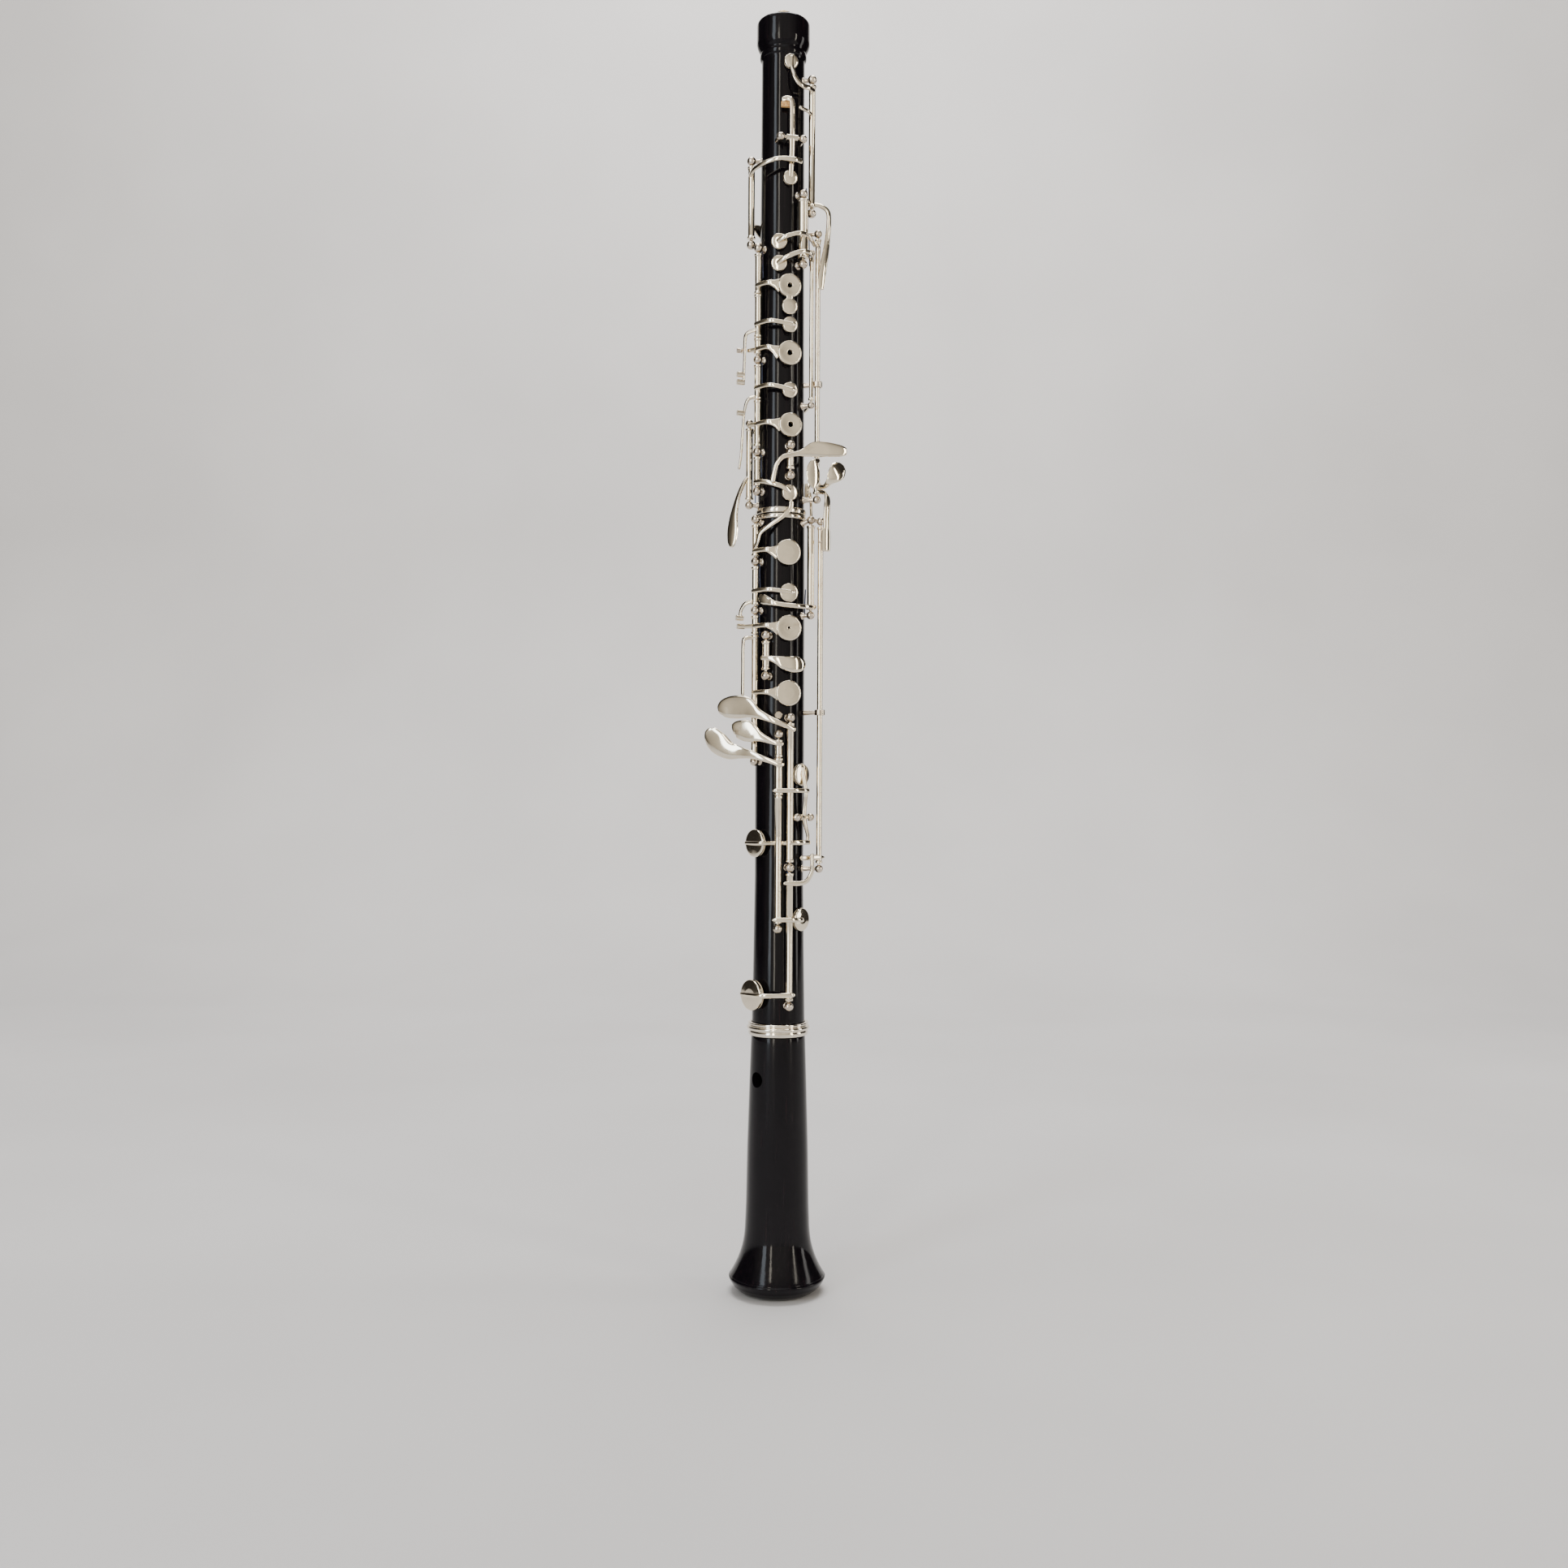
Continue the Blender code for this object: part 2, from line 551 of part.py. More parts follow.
def tail(hinge, height, end_azimuth, end_radius):
    """A short tail on a hinge tube's outer side."""
    return strap([(hinge[0], hinge[1] + 0.6, height, 1.1, 0.9), (end_azimuth, end_radius, height, 0.9, 0.6)])


def barrel(azimuth, radius, height):
    """An adjusting screw in its barrel, pointing outward from an arm."""
    start = at(azimuth, radius, height)
    return rod(start, at(azimuth, radius + BARREL_LENGTH, height), BARREL_RADIUS, sides=8)


def half_hole_key(look):
    lobe = cup(-0.3, 450.4, 3.7, OPEN_LIFT + 0.6, PLATE_HEIGHT - 0.6)
    bridge = strap([(0, 13.6, 457, 1.6, 0.5), (0, 13.6, 451, 1.6, 0.5)])
    pieces = [tube(LEFT_STACK, 457.4, 475.7)] + finger_plate(0, 459.9, 5.4, LEFT_STACK, 461.2) + [lobe,
                                                                                                  bridge]
    cutters = [tube_bore(LEFT_STACK, 457.4, 475.7), vent_cutter(0, 459.9, 1.1)]
    finish("half_hole_key", pieces, look, cutters, at(*LEFT_STACK, 466))


def c_vent_key(look):
    """A small vent cup, with a bar outside the stack that the middle finger's tail lifts."""
    over = cup_top(442.1, OPEN_LIFT)
    bar = strap([(-69, 14.7, 441.0, 1.0, 0.7), (-80, 17.8, 439.4, 1.0, 0.7), (-80.5, 18.6, 436, 1.0, 0.7),
                 (-81, 18.7, 429, 0.9, 0.6), (-84, 18.6, 420.8, 0.9, 0.6), (-85, 18.6, 416.6, 0.9, 0.6)])
    lug = strap([(-80.5, 18.7, 432.6, 1.0, 0.6), (-94, 18.9, 432.4, 1.1, 0.6)])
    pieces = [tube(LEFT_STACK, 437.4, 457.0), level_arm(LEFT_STACK, 443.4, 1.0, 442.1, over),
              cup(1.0, 442.1, 3.6, OPEN_LIFT), bar, lug, barrel(-85, 18.4, 420.8), barrel(-85, 18.4, 417.3)]
    finish("c_vent_key", pieces, look, [tube_bore(LEFT_STACK, 437.4, 457.0)], at(*LEFT_STACK, 447))


def left_middle_key(look):
    pieces = [tube(LEFT_STACK, 429.8, 437.0)] + finger_plate(0.6, 429.2, 5.6, LEFT_STACK, 431.9)
    pieces.append(tail(LEFT_STACK, 431.9, -83, 16.7))
    cutters = [tube_bore(LEFT_STACK, 429.8, 437.0), vent_cutter(0.6, 429.2, 1.2)]
    finish("left_middle_key", pieces, look, cutters, at(*LEFT_STACK, 433))


def b_vent_key(look):
    """A small vent cup, with a thin bar down the left that the ring finger's tail lifts."""
    over = cup_top(412.3, OPEN_LIFT)
    bar = strap([(-71, 15.0, 410.2, 0.9, 0.7), (-76, 17.8, 408.6, 0.9, 0.7), (-83, 18.5, 403, 0.8, 0.6),
                 (-90, 18.7, 392, 0.8, 0.6), (-94, 18.9, 384.5, 0.8, 0.6), (-97, 19.6, 378.6, 0.8, 0.6)])
    pieces = [tube(LEFT_STACK, 409.0, 424.8), level_arm(LEFT_STACK, 414.2, 1.1, 412.3, over),
              cup(1.1, 412.3, 3.6, OPEN_LIFT), bar, barrel(-84, 18.4, 403.1)]
    finish("b_vent_key", pieces, look, [tube_bore(LEFT_STACK, 409.0, 424.8)], at(*LEFT_STACK, 417))


def left_ring_key(look):
    pieces = [tube(LEFT_STACK, 387.5, 408.6)] + finger_plate(2.5, 396.5, 5.5, LEFT_STACK, 397.7)
    pieces.append(tail(LEFT_STACK, 397.7, -81, 16.4))
    cutters = [tube_bore(LEFT_STACK, 387.5, 408.6), vent_cutter(2.5, 396.5, 1.2)]
    finish("left_ring_key", pieces, look, cutters, at(*LEFT_STACK, 398))


def g_sharp_pad_key(look):
    over = cup_top(365.8, CLOSED_LIFT)
    arm = strap([(-68.5, 14.9, 371.2, 1.0, 0.8), (-50, 14.8, 370.8, 1.0, 0.7), (-28.5, 14.7, 369.4, 1.1, 0.7),
                 (-10, 14.2, 367.8, 1.1, 0.7), (3.1, over + 0.1, 366.2, 1.2, 0.6)])
    pieces = [tube(LEFT_STACK, 369.5, 382.5), arm, cup(3.1, 365.8, 3.7, CLOSED_LIFT)]
    finish("g_sharp_pad_key", pieces, look, [tube_bore(LEFT_STACK, 369.5, 382.5)], at(*LEFT_STACK, 376))


def g_sharp_lever(look):
    """The left little finger's spoon on the right, whose far end holds the G sharp cup shut."""
    arm = strap([(-28.5, 16.6, 370.2, 1.1, 0.7), (-26, 16.4, 374, 1.0, 0.7), (-22, 16.0, 378, 1.0, 0.7),
                 (-12, 15.8, 381.2, 1.0, 0.7), (2.7, 15.4, 382.4, 1.1, 0.8), (14, 16.0, 383.2, 1.3, 0.8),
                 (23, 17.2, 383.8, 2.0, 0.8), (34.6, 20, 385.2, 3.5, 0.8, 25),
                 (44.2, 24, 385.5, 3.4, 0.8, 25), (53.3, 29, 385.2, 2.7, 0.7, 22),
                 (56.5, 31, 385.2, 1.8, 0.6, 20)])
    pieces = [tube(G_SHARP, 376.2, 384.6), arm]
    finish("g_sharp_lever", pieces, look, [tube_bore(G_SHARP, 376.2, 384.6)], at(*G_SHARP, 380))


def right_trill_spoon(look):
    """The right index finger's trill spoon, with a lever round the back to the lower trill."""
    spoon = strap([(-95, 14.9, 375, 1.1, 0.9), (-92, 17.5, 371.8, 1.1, 0.9, -75),
                   (-90, 20.4, 365, 1.3, 0.8, -60), (-88, 22.4, 357, 2.0, 0.8, -50),
                   (-86, 23.3, 349.5, 2.9, 0.8, -50), (-86.5, 23.6, 344, 2.4, 0.7, -50),
                   (-87, 23.7, 341.9, 1.2, 0.6, -50)])
    lever = strap([(-95, 14.9, 394, 1.0, 0.9), (-118, 15.3, 396, 1.0, 0.7), (-146, 15.4, 399, 1.0, 0.7),
                   (-170, 15.4, 401.6, 1.0, 0.7), (171, 15.4, 403.6, 1.0, 0.7)])
    pieces = [tube(TRILL_SPOON, 364.0, 396.9), spoon, lever]
    finish("right_trill_spoon", pieces, look, [tube_bore(TRILL_SPOON, 364.0, 396.9)], at(*TRILL_SPOON, 380))


def left_low_b_lever(look):
    """The left little finger's paddle, with a flat bar down to the low B rod."""
    paddle = strap([(60.5, 17.5, 370.1, 1.2, 0.85), (56, 21, 369.6, 1.2, 0.9, 30),
                    (50.5, 24, 371.0, 1.6, 0.8, 12), (51.5, 25.8, 373.2, 3.2, 0.8, 10),
                    (54.5, 27.3, 375.8, 4.2, 0.7, 10), (58.5, 28.2, 378.2, 3.5, 0.6, 10),
                    (60.3, 28.6, 379.5, 1.8, 0.5, 10)])
    bar = strap([(60, 17.2, 368.1, 1.1, 0.9), (55, 21.2, 366.6, 1.2, 0.8),
                 (50.5, 23.2, 364, 1.4, 0.8, 20), (46.5, 23.9, 359.5, 1.6, 0.8, 12),
                 (45, 24, 355, 1.6, 0.8, 12), (44.5, 24, 349.5, 1.6, 0.8, 12),
                 (44.2, 24, 347.8, 2.2, 0.8, 12), (44, 24, 339.6, 2.2, 0.8, 12)])
    pieces = [tube(LEFT_LEVERS, 366.5, 371.9), paddle, bar]
    finish("left_low_b_lever", pieces, look, [tube_bore(LEFT_LEVERS, 366.5, 371.9)], at(*LEFT_LEVERS, 369))


# ---------------------------------------------------------------- lower joint keys

def right_index_key(look):
    """The right index finger's plate, with the bridge that reaches up to the G sharp cup."""
    bridge = strap([(-66, 15.3, 341.0, 1.1, 0.7), (-57.5, 15.8, 343.2, 1.1, 0.7),
                    (-52, 15.4, 347.4, 1.1, 0.7), (-35, 14.8, 350.4, 1.0, 0.7),
                    (-11, 14.8, 354.6, 1.0, 0.7), (1.5, 15.0, 358.2, 1.1, 0.7),
                    (2.9, 15.2, 361.0, 1.1, 0.7)])
    pieces = [tube(RIGHT_STACK, 337.2, 351.4)] + finger_plate(-1.4, 338.4, 5.9, RIGHT_STACK, 339.6) + [bridge]
    finish("right_index_key", pieces, look, [tube_bore(RIGHT_STACK, 337.2, 351.4)], at(*RIGHT_STACK, 344))


def f_sharp_vent_key(look):
    over = cup_top(320.0, OPEN_LIFT)
    link = strap([(-70, 15.8, 316.4, 1.0, 0.7), (-77, 18.3, 315.4, 1.0, 0.7), (-83, 19.6, 312.4, 1.1, 0.7),
                  (-84, 19.8, 308.6, 1.2, 0.7)])
    pieces = [tube(RIGHT_STACK, 314.9, 332.3), level_arm(RIGHT_STACK, 321.2, 0.5, 320.2, over),
              cup(0.5, 320.0, 4.3, OPEN_LIFT), link, barrel(-84, 18.4, 309.1)]
    finish("f_sharp_vent_key", pieces, look, [tube_bore(RIGHT_STACK, 314.9, 332.3)], at(*RIGHT_STACK, 323))


def right_middle_key(look):
    pieces = [tube(RIGHT_STACK, 301.5, 309.9)] + finger_plate(0.6, 304.0, 5.9, RIGHT_STACK, 305.2)
    pieces += [tail(RIGHT_STACK, 305.2, -84, 18.6), barrel(-84, 17.8, 305.2)]
    cutters = [tube_bore(RIGHT_STACK, 301.5, 309.9), vent_cutter(0.6, 304.0, 0.6)]
    finish("right_middle_key", pieces, look, cutters, at(*RIGHT_STACK, 305))


def right_ring_key(look):
    """The right ring finger's plate, with the cranked bar outside its long tube."""
    crank = strap([(-69, 15.4, 299.8, 1.0, 0.8), (-73, 18.6, 299.6, 1.0, 0.8), (-75, 19.6, 297.0, 1.0, 0.7),
                   (-75.5, 19.6, 285, 1.0, 0.7), (-76, 19.6, 274.0, 1.0, 0.7)])
    pieces = [tube(RIGHT_STACK, 246.1, 301.1)] + finger_plate(0.4, 274.4, 5.9, RIGHT_STACK, 274.9) + [crank]
    finish("right_ring_key", pieces, look, [tube_bore(RIGHT_STACK, 246.1, 301.1)], at(*RIGHT_STACK, 274))


def side_key(look):
    """The tear-shaped touch between the fingers, which lifts a side cup over the joint on the right."""
    arm = strap([(52, 17.0, 314.4, 1.0, 0.8), (30, 17.9, 313.8, 1.0, 0.7), (6, 18.2, 313.6, 1.0, 0.7),
                 (-21.7, 17.2, 314.6, 1.1, 0.7), (-34, 16.6, 315.8, 1.8, 0.7), (-43.7, 16.2, 316.9, 2.3, 0.7),
                 (-50.5, 16.0, 317.9, 1.4, 0.6)])
    side_arm = strap([(48.5, 15.4, 350.4, 0.9, 0.8), (58, 14.4, 351.2, 0.9, 0.7), (66, 14.1, 354.4, 0.9, 0.7),
                      (72, 14.0, 359, 0.9, 0.7), (76, 13.8, 364.4, 0.9, 0.7), (78, 13.4, 368.0, 0.9, 0.6)])
    pieces = [tube(SIDE_KEY, 313.0, 351.6, 1.65), arm, side_arm, cup(78, 369.2, 3.6, CLOSED_LIFT)]
    finish("side_key", pieces, look, [tube_bore(SIDE_KEY, 313.0, 351.6)], at(*SIDE_KEY, 332))


def f_key(look):
    touch = strap([(-46, 15.9, 290.3, 1.0, 0.7), (-32, 16.0, 290.0, 1.2, 0.7), (-20, 16.4, 289.1, 1.9, 0.7),
                   (-8, 16.8, 287.9, 3.0, 0.7), (6, 16.9, 287.3, 3.6, 0.7), (18, 16.8, 287.5, 3.2, 0.7),
                   (26.5, 16.5, 288.3, 1.8, 0.6)])
    pieces = [tube(F_KEY, 284.9, 298.0), touch]
    finish("f_key", pieces, look, [tube_bore(F_KEY, 284.9, 298.0)], at(*F_KEY, 291))


def low_b_rod(look):
    """The long rod that carries the left hand's low B down to the foot of the joint."""
    lug = strap([(57, 19.4, 344, 3.8, 0.7), (58, 22.0, 344, 3.8, 0.6)])
    arm = strap([(64, 20.8, 199.6, 0.5, 0.5), (57, 19.4, 199.6, 1.3, 0.9), (40, 17.7, 199.6, 1.2, 0.7),
                 (20, 17.6, 199.6, 1.1, 0.7)])
    pieces = [tube(LOW_B_ROD, 196.9, 351.1, 1.3), lug, arm]
    finish("low_b_rod", pieces, look, [tube_bore(LOW_B_ROD, 196.9, 351.1)], at(*LOW_B_ROD, 274))


def low_c_key(look):
    """The right little finger's upper touch, which shuts the low C cup on the left."""
    touch = strap([(9, 16.2, 257.8, 1.1, 0.7), (-8, 16.8, 259.8, 1.2, 0.8, -8),
                   (-28, 16.9, 262.2, 1.4, 0.8, -20), (-49.6, 17.2, 264.9, 2.3, 0.8, -30),
                   (-68.6, 19.0, 267.8, 4.8, 0.8, -38), (-84, 23.0, 268.2, 5.2, 0.8, -42),
                   (-91, 26.6, 267.8, 4.1, 0.7, -42), (-94, 28.4, 267.2, 2.2, 0.6, -42)])
    arm = strap([(3.6, 13.9, 206.3, 1.0, 0.8), (-8, 12.7, 206.3, 1.0, 0.6), (-18, 12.45, 206.3, 1.0, 0.55),
                 (-31, 13.1, 206.3, 1.0, 0.6), (-46, 16.2, 206.2, 1.0, 0.7), (-65, 15.65, 206.1, 1.0, 0.7),
                 (-84, 16.4, 206.1, 0.8, 0.6)])
    back = strap([(3.6, 15.9, 206.6, 1.1, 0.8), (24, 16.2, 206.6, 1.1, 0.7), (43, 16.1, 206.6, 1.1, 0.7)])
    pieces = [tube(FOOT_OUTER, 197.7, 260.7), touch, arm, back, cup(-65, 206.1, 6.4, LOW_C_LIFT)]
    finish("low_c_key", pieces, look, [tube_bore(FOOT_OUTER, 197.7, 260.7)], at(*FOOT_OUTER, 230))


def c_sharp_key(look):
    """The right little finger's middle touch, on the long tube that lifts the lower cup on the right."""
    touch = strap([(-11, 16.3, 251.2, 0.9, 0.6), (-17, 16.4, 251.4, 1.1, 0.8),
                   (-27, 16.3, 252.2, 1.2, 0.8), (-46, 16.9, 254.4, 2.2, 0.8, -28),
                   (-58, 17.9, 256.0, 4.1, 0.8, -34), (-68, 19.4, 257.3, 4.8, 0.8, -38),
                   (-78, 22.0, 258.0, 3.8, 0.7, -40), (-81, 23.0, 257.6, 2.3, 0.6, -40)])
    arm = strap([(-24, 16.8, 171.8, 0.6, 0.5), (-17, 16.9, 171.8, 1.1, 0.7), (3.6, 17.6, 171.7, 1.1, 0.7),
                 (22, 16.6, 171.5, 1.1, 0.7), (35.5, 14.4, 171.3, 1.0, 0.6)])
    sleeve_tube = tube(FOOT_INNER, 227.0, 246.0, SLEEVE_RADIUS)
    pieces = [tube(FOOT_INNER, 170.1, 227.7), sleeve_tube, tube(FOOT_INNER, 245.2, 253.1), touch, arm,
              cup(35.5, 171.3, 5.3, CLOSED_LIFT)]
    bore = tube_bore(FOOT_INNER, 170.1, 253.1, THIN_PIN_RADIUS)
    finish("c_sharp_key", pieces, look, [bore], at(*FOOT_INNER, 207))


def e_flat_key(look):
    """The outer touch, on a short tube round the sleeve, with the arm that holds the rocker shut."""
    touch = strap([(-10, 16.3, 241.9, 0.9, 0.7), (-17, 16.5, 242.2, 1.1, 0.8),
                   (-41, 16.8, 244.6, 1.3, 0.8, -25), (-60, 18.2, 246.4, 1.9, 0.8, -32),
                   (-75, 20.6, 247.3, 2.7, 0.8, -38), (-86, 24.6, 248.4, 4.1, 0.8, -42),
                   (-93, 29.0, 252.0, 5.2, 0.8, -44), (-96.5, 32.0, 255.8, 4.1, 0.7, -44),
                   (-97.5, 33.4, 257.6, 2.0, 0.6, -44)])
    hold = strap([(-24, 16.9, 230.2, 0.6, 0.5), (-17, 17.0, 230.2, 1.1, 0.7), (4, 17.6, 230.2, 1.0, 0.7),
                  (22, 17.6, 230.2, 1.0, 0.7), (34, 17.4, 230.2, 1.0, 0.6)])
    pieces = [tube(FOOT_INNER, 228.1, 244.8, SLEEVE_RADIUS + RUNNING_GAP + 0.4), touch, hold]
    bore = tube_bore(FOOT_INNER, 228.1, 244.8, SLEEVE_RADIUS)
    finish("e_flat_key", pieces, look, [bore], at(*FOOT_INNER, 236))


def e_flat_rocker_key(look):
    azimuth, height = E_FLAT_ROCKER[0], E_FLAT_ROCKER[2]
    lever = strap([(35, 13.9, 240.5, 0.8, 0.5), (35, 14.2, 237.5, 1.1, 0.6), (36, 15.5, 230.2, 1.1, 0.7),
                   (37, 14.8, 223.5, 1.1, 0.7), (azimuth, 14.1, height, 1.3, 0.9),
                   (44, 14.2, 213.5, 1.1, 0.7), (52, 14.3, 209.4, 1.1, 0.7), (50, 14.1, 206.6, 1.0, 0.6)])
    half = sideways(azimuth) * (2.7 * MM)
    centre = at(*E_FLAT_ROCKER)
    cross = rod(centre - half, centre + half, 1.4)
    bore = rod(centre - half * 2, centre + half * 2, PIN_RADIUS + RUNNING_GAP)
    finish("e_flat_rocker_key", [cross, lever, cup(35, 237.5, 5.1, CLOSED_LIFT)], look, [bore], centre)


def low_b_pad_key(look):
    """The lowest tube: the big cup on the left and the hook that the low B rod lifts."""
    arm = strap([(11, 16.2, 137.6, 0.7, 0.5), (3.6, 16.3, 137.6, 1.2, 0.7), (-20, 17.1, 137.5, 1.1, 0.7),
                 (-43, 18.4, 137.3, 1.1, 0.7), (-64.5, 17.3, 137.0, 1.1, 0.7), (-85, 18.2, 136.9, 0.8, 0.6)])
    hook = strap([(-6, 16.0, 188.2, 0.7, 0.6), (3.6, 16.3, 188.2, 1.2, 0.8), (18, 17.2, 188.2, 1.1, 0.8),
                  (29, 18.2, 189.3, 1.1, 0.8), (35.5, 19.2, 193, 1.1, 0.8), (35.5, 19.5, 197, 1.1, 0.7),
                  (35.5, 19.5, 201, 1.1, 0.7)])
    pieces = [tube(FOOT_OUTER, 134.9, 192.7), arm, hook, cup(-64.5, 137.0, 7.05, LOW_B_LIFT, 2.9)]
    finish("low_b_pad_key", pieces, look, [tube_bore(FOOT_OUTER, 134.9, 192.7)], at(*FOOT_OUTER, 164))


# ---------------------------------------------------------------- posts, guides and small parts

def side_rod_posts(name, look):
    """The side key's posts and the low B rod's, whose top balls share one foot."""
    key_top, rod_top = at(*SIDE_KEY, SIDE_POST_TOP), at(*LOW_B_ROD, SIDE_POST_TOP - 0.5)
    key_foot, rod_foot = at(*SIDE_KEY, 310.5), at(*LOW_B_ROD, 194.4)
    pieces = [rod(key_foot, key_top, PIN_RADIUS), rod(rod_foot, rod_top, PIN_RADIUS),
              rod(key_top, rod_top, 0.9)]
    pieces += [ball(centre, 1.9) for centre in (key_top, key_foot, rod_top, rod_foot)]
    pieces += [stem(SIDE_KEY, SIDE_POST_TOP, 352.7), stem(SIDE_KEY, 310.5), stem(LOW_B_ROD, 194.4)]
    finish(name, pieces, look)


def make_posts(look):
    posts("second_octave_posts", SIDE_OCTAVE, [557.1, 495.5], PIN_RADIUS, look)
    rocker_posts("first_octave_posts", OCTAVE_ROCKER, look)
    posts("thumb_octave_posts", THUMB_OCTAVE, [520.6, 481.9], PIN_RADIUS, look)
    posts("upper_trill_posts", UPPER_TRILL, [502.7, 470.5], PIN_RADIUS, look)
    posts("lower_trill_posts", LOWER_TRILL, [476.9, 407.0], 0.3, look, ball_radius=1.6)
    posts("left_lever_posts", LEFT_LEVERS, [486.4, 364.0], THIN_PIN_RADIUS, look, ball_radius=1.9)
    posts("left_stack_posts", LEFT_STACK, [478.4, 427.3, 385.0, 367.0], PIN_RADIUS, look)
    posts("trill_spoon_posts", TRILL_SPOON, [399.3, 361.6], PIN_RADIUS, look, ball_radius=1.9)
    posts("g_sharp_posts", G_SHARP, [387.3, 373.5], PIN_RADIUS, look)
    posts("right_stack_posts", RIGHT_STACK, [354.1, 334.8, 312.4, 243.4], PIN_RADIUS, look,
          feet=[352.7, 334.8, 312.4, 243.4])
    side_rod_posts("side_rod_posts", look)
    posts("f_key_posts", F_KEY, [300.7, 282.2], PIN_RADIUS, look)
    posts("foot_outer_posts", FOOT_OUTER, [263.3, 195.2, 132.3], PIN_RADIUS, look)
    posts("foot_inner_posts", FOOT_INNER, [255.7, 167.5], THIN_PIN_RADIUS, look)
    rocker_posts("e_flat_rocker_posts", E_FLAT_ROCKER, look)


def rod_guide(name, hinge, height, tube_radius, look):
    """A collar on a stem that steadies a long rod half way along."""
    azimuth, radius = hinge
    low, high = at(azimuth, radius, height - 1.3), at(azimuth, radius, height + 1.3)
    collar = rod(low, high, tube_radius + 1.1, sides=10)
    leg = rod(at(azimuth, side_radius(height) + GAP, height),
              at(azimuth, radius - tube_radius - 0.7, height), 1.3, 0.9, sides=6)
    hole = rod(low + (low - high), high + (high - low), tube_radius + RUNNING_GAP, sides=10)
    finish(name, [collar, leg], look, [hole])


def thumb_rest(look):
    """A plate on the back of the lower joint with a curved hook for the right thumb."""
    azimuth = 180.0
    out = outward(azimuth)
    across = sideways(azimuth)
    foot = side_radius(302) + GAP
    plate = box(at(azimuth, foot + 0.8, 302), across, out, (8.0, 1.6, 30.0))
    hook = strap([(azimuth, foot + 1.0, 300, 6.5, 0.9), (azimuth, foot + 4.5, 298.8, 7.5, 1.0),
                  (azimuth, foot + 9.5, 299.5, 7.5, 1.0), (azimuth, foot + 13.0, 302.5, 6.0, 0.9)])
    holes = [rod(at(azimuth, foot - 1, z), at(azimuth, foot + 3, z), 1.3) for z in (314, 290)]
    finish("thumb_rest", [plate, hook], look, holes)


def slotted_screw(name, azimuth, base, height, head_radius, length, look):
    """A screw standing outward, with a driver's slot across its head."""
    out = outward(azimuth)
    head = rod(at(azimuth, base, height), at(azimuth, base + length, height), head_radius, sides=10)
    slot = box(at(azimuth, base + length, height), sideways(azimuth), out, (head_radius * 3, 0.8, 0.4))
    finish(name, [head], look, [slot])


def small_parts(look):
    rod_guide("left_lever_guide", LEFT_LEVERS, 417.0, THIN_TUBE_RADIUS, look)
    rod_guide("low_b_rod_guide", LOW_B_ROD, 266.0, 1.3, look)
    thumb_rest(look)
    for name, height in (("thumb_rest_screw_upper", 314.0), ("thumb_rest_screw_lower", 290.0)):
        slotted_screw(name, 180.0, side_radius(302) + GAP, height, 1.0, 2.6, look)
    slotted_screw("vent_adjusting_screw", -91.0, 19.8, 432.4, 1.15, 1.6, look)
    slotted_screw("foot_stop_screw", -17.4, side_radius(264) + GAP, 264.4, 1.7, 2.6, look)


# ---------------------------------------------------------------- the whole instrument

def clear_scene():
    for item in list(bpy.data.objects):
        bpy.data.objects.remove(item, do_unlink=True)
    for name in (COLLECTION, GUIDES):
        made = bpy.data.collections.new(name)
        bpy.context.scene.collection.children.link(made)


def main():
    clear_scene()
    materials = make_materials()
    for make in (upper_joint, lower_joint, bell):
        make(materials["body"])
    trim(materials)
    for make in (second_octave_key, first_octave_key, thumb_octave_key, upper_trill_key, lower_trill_key,
                 left_trill_lever, half_hole_key, c_vent_key, left_middle_key, b_vent_key, left_ring_key,
                 g_sharp_pad_key, g_sharp_lever, right_trill_spoon, left_low_b_lever, right_index_key,
                 f_sharp_vent_key, right_middle_key, right_ring_key, side_key, f_key, low_b_rod, low_c_key,
                 c_sharp_key, e_flat_key, e_flat_rocker_key, low_b_pad_key):
        make(materials["key"])
    make_posts(materials["post"])
    small_parts(materials["post"])


main()
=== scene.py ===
"""The oboe's looks: fine keywork, turned wood, pads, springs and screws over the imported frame."""
import json
from math import cos, pi, radians, sin, sqrt

import bmesh
import bpy
from mathutils import Matrix, Vector

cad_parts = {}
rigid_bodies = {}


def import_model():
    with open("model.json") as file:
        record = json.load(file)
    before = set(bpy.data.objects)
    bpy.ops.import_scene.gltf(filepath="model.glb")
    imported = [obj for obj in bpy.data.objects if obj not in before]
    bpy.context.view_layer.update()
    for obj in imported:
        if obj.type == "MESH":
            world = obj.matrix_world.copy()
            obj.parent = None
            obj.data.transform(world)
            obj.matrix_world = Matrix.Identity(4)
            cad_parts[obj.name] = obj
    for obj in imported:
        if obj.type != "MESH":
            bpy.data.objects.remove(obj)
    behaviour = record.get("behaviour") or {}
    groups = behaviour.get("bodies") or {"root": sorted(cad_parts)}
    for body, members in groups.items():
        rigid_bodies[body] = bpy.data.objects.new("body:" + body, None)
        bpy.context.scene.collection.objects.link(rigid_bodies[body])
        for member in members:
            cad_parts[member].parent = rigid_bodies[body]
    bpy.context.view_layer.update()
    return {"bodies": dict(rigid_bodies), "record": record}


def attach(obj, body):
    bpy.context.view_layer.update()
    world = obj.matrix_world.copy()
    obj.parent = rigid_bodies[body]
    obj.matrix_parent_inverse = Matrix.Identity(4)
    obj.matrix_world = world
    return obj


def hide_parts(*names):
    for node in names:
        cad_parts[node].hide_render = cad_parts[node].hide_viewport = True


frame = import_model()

MM = 0.001
GAP = 0.3
DEGREES_PER_RADIAN = 57.3
SHARP_ANGLE = radians(38)

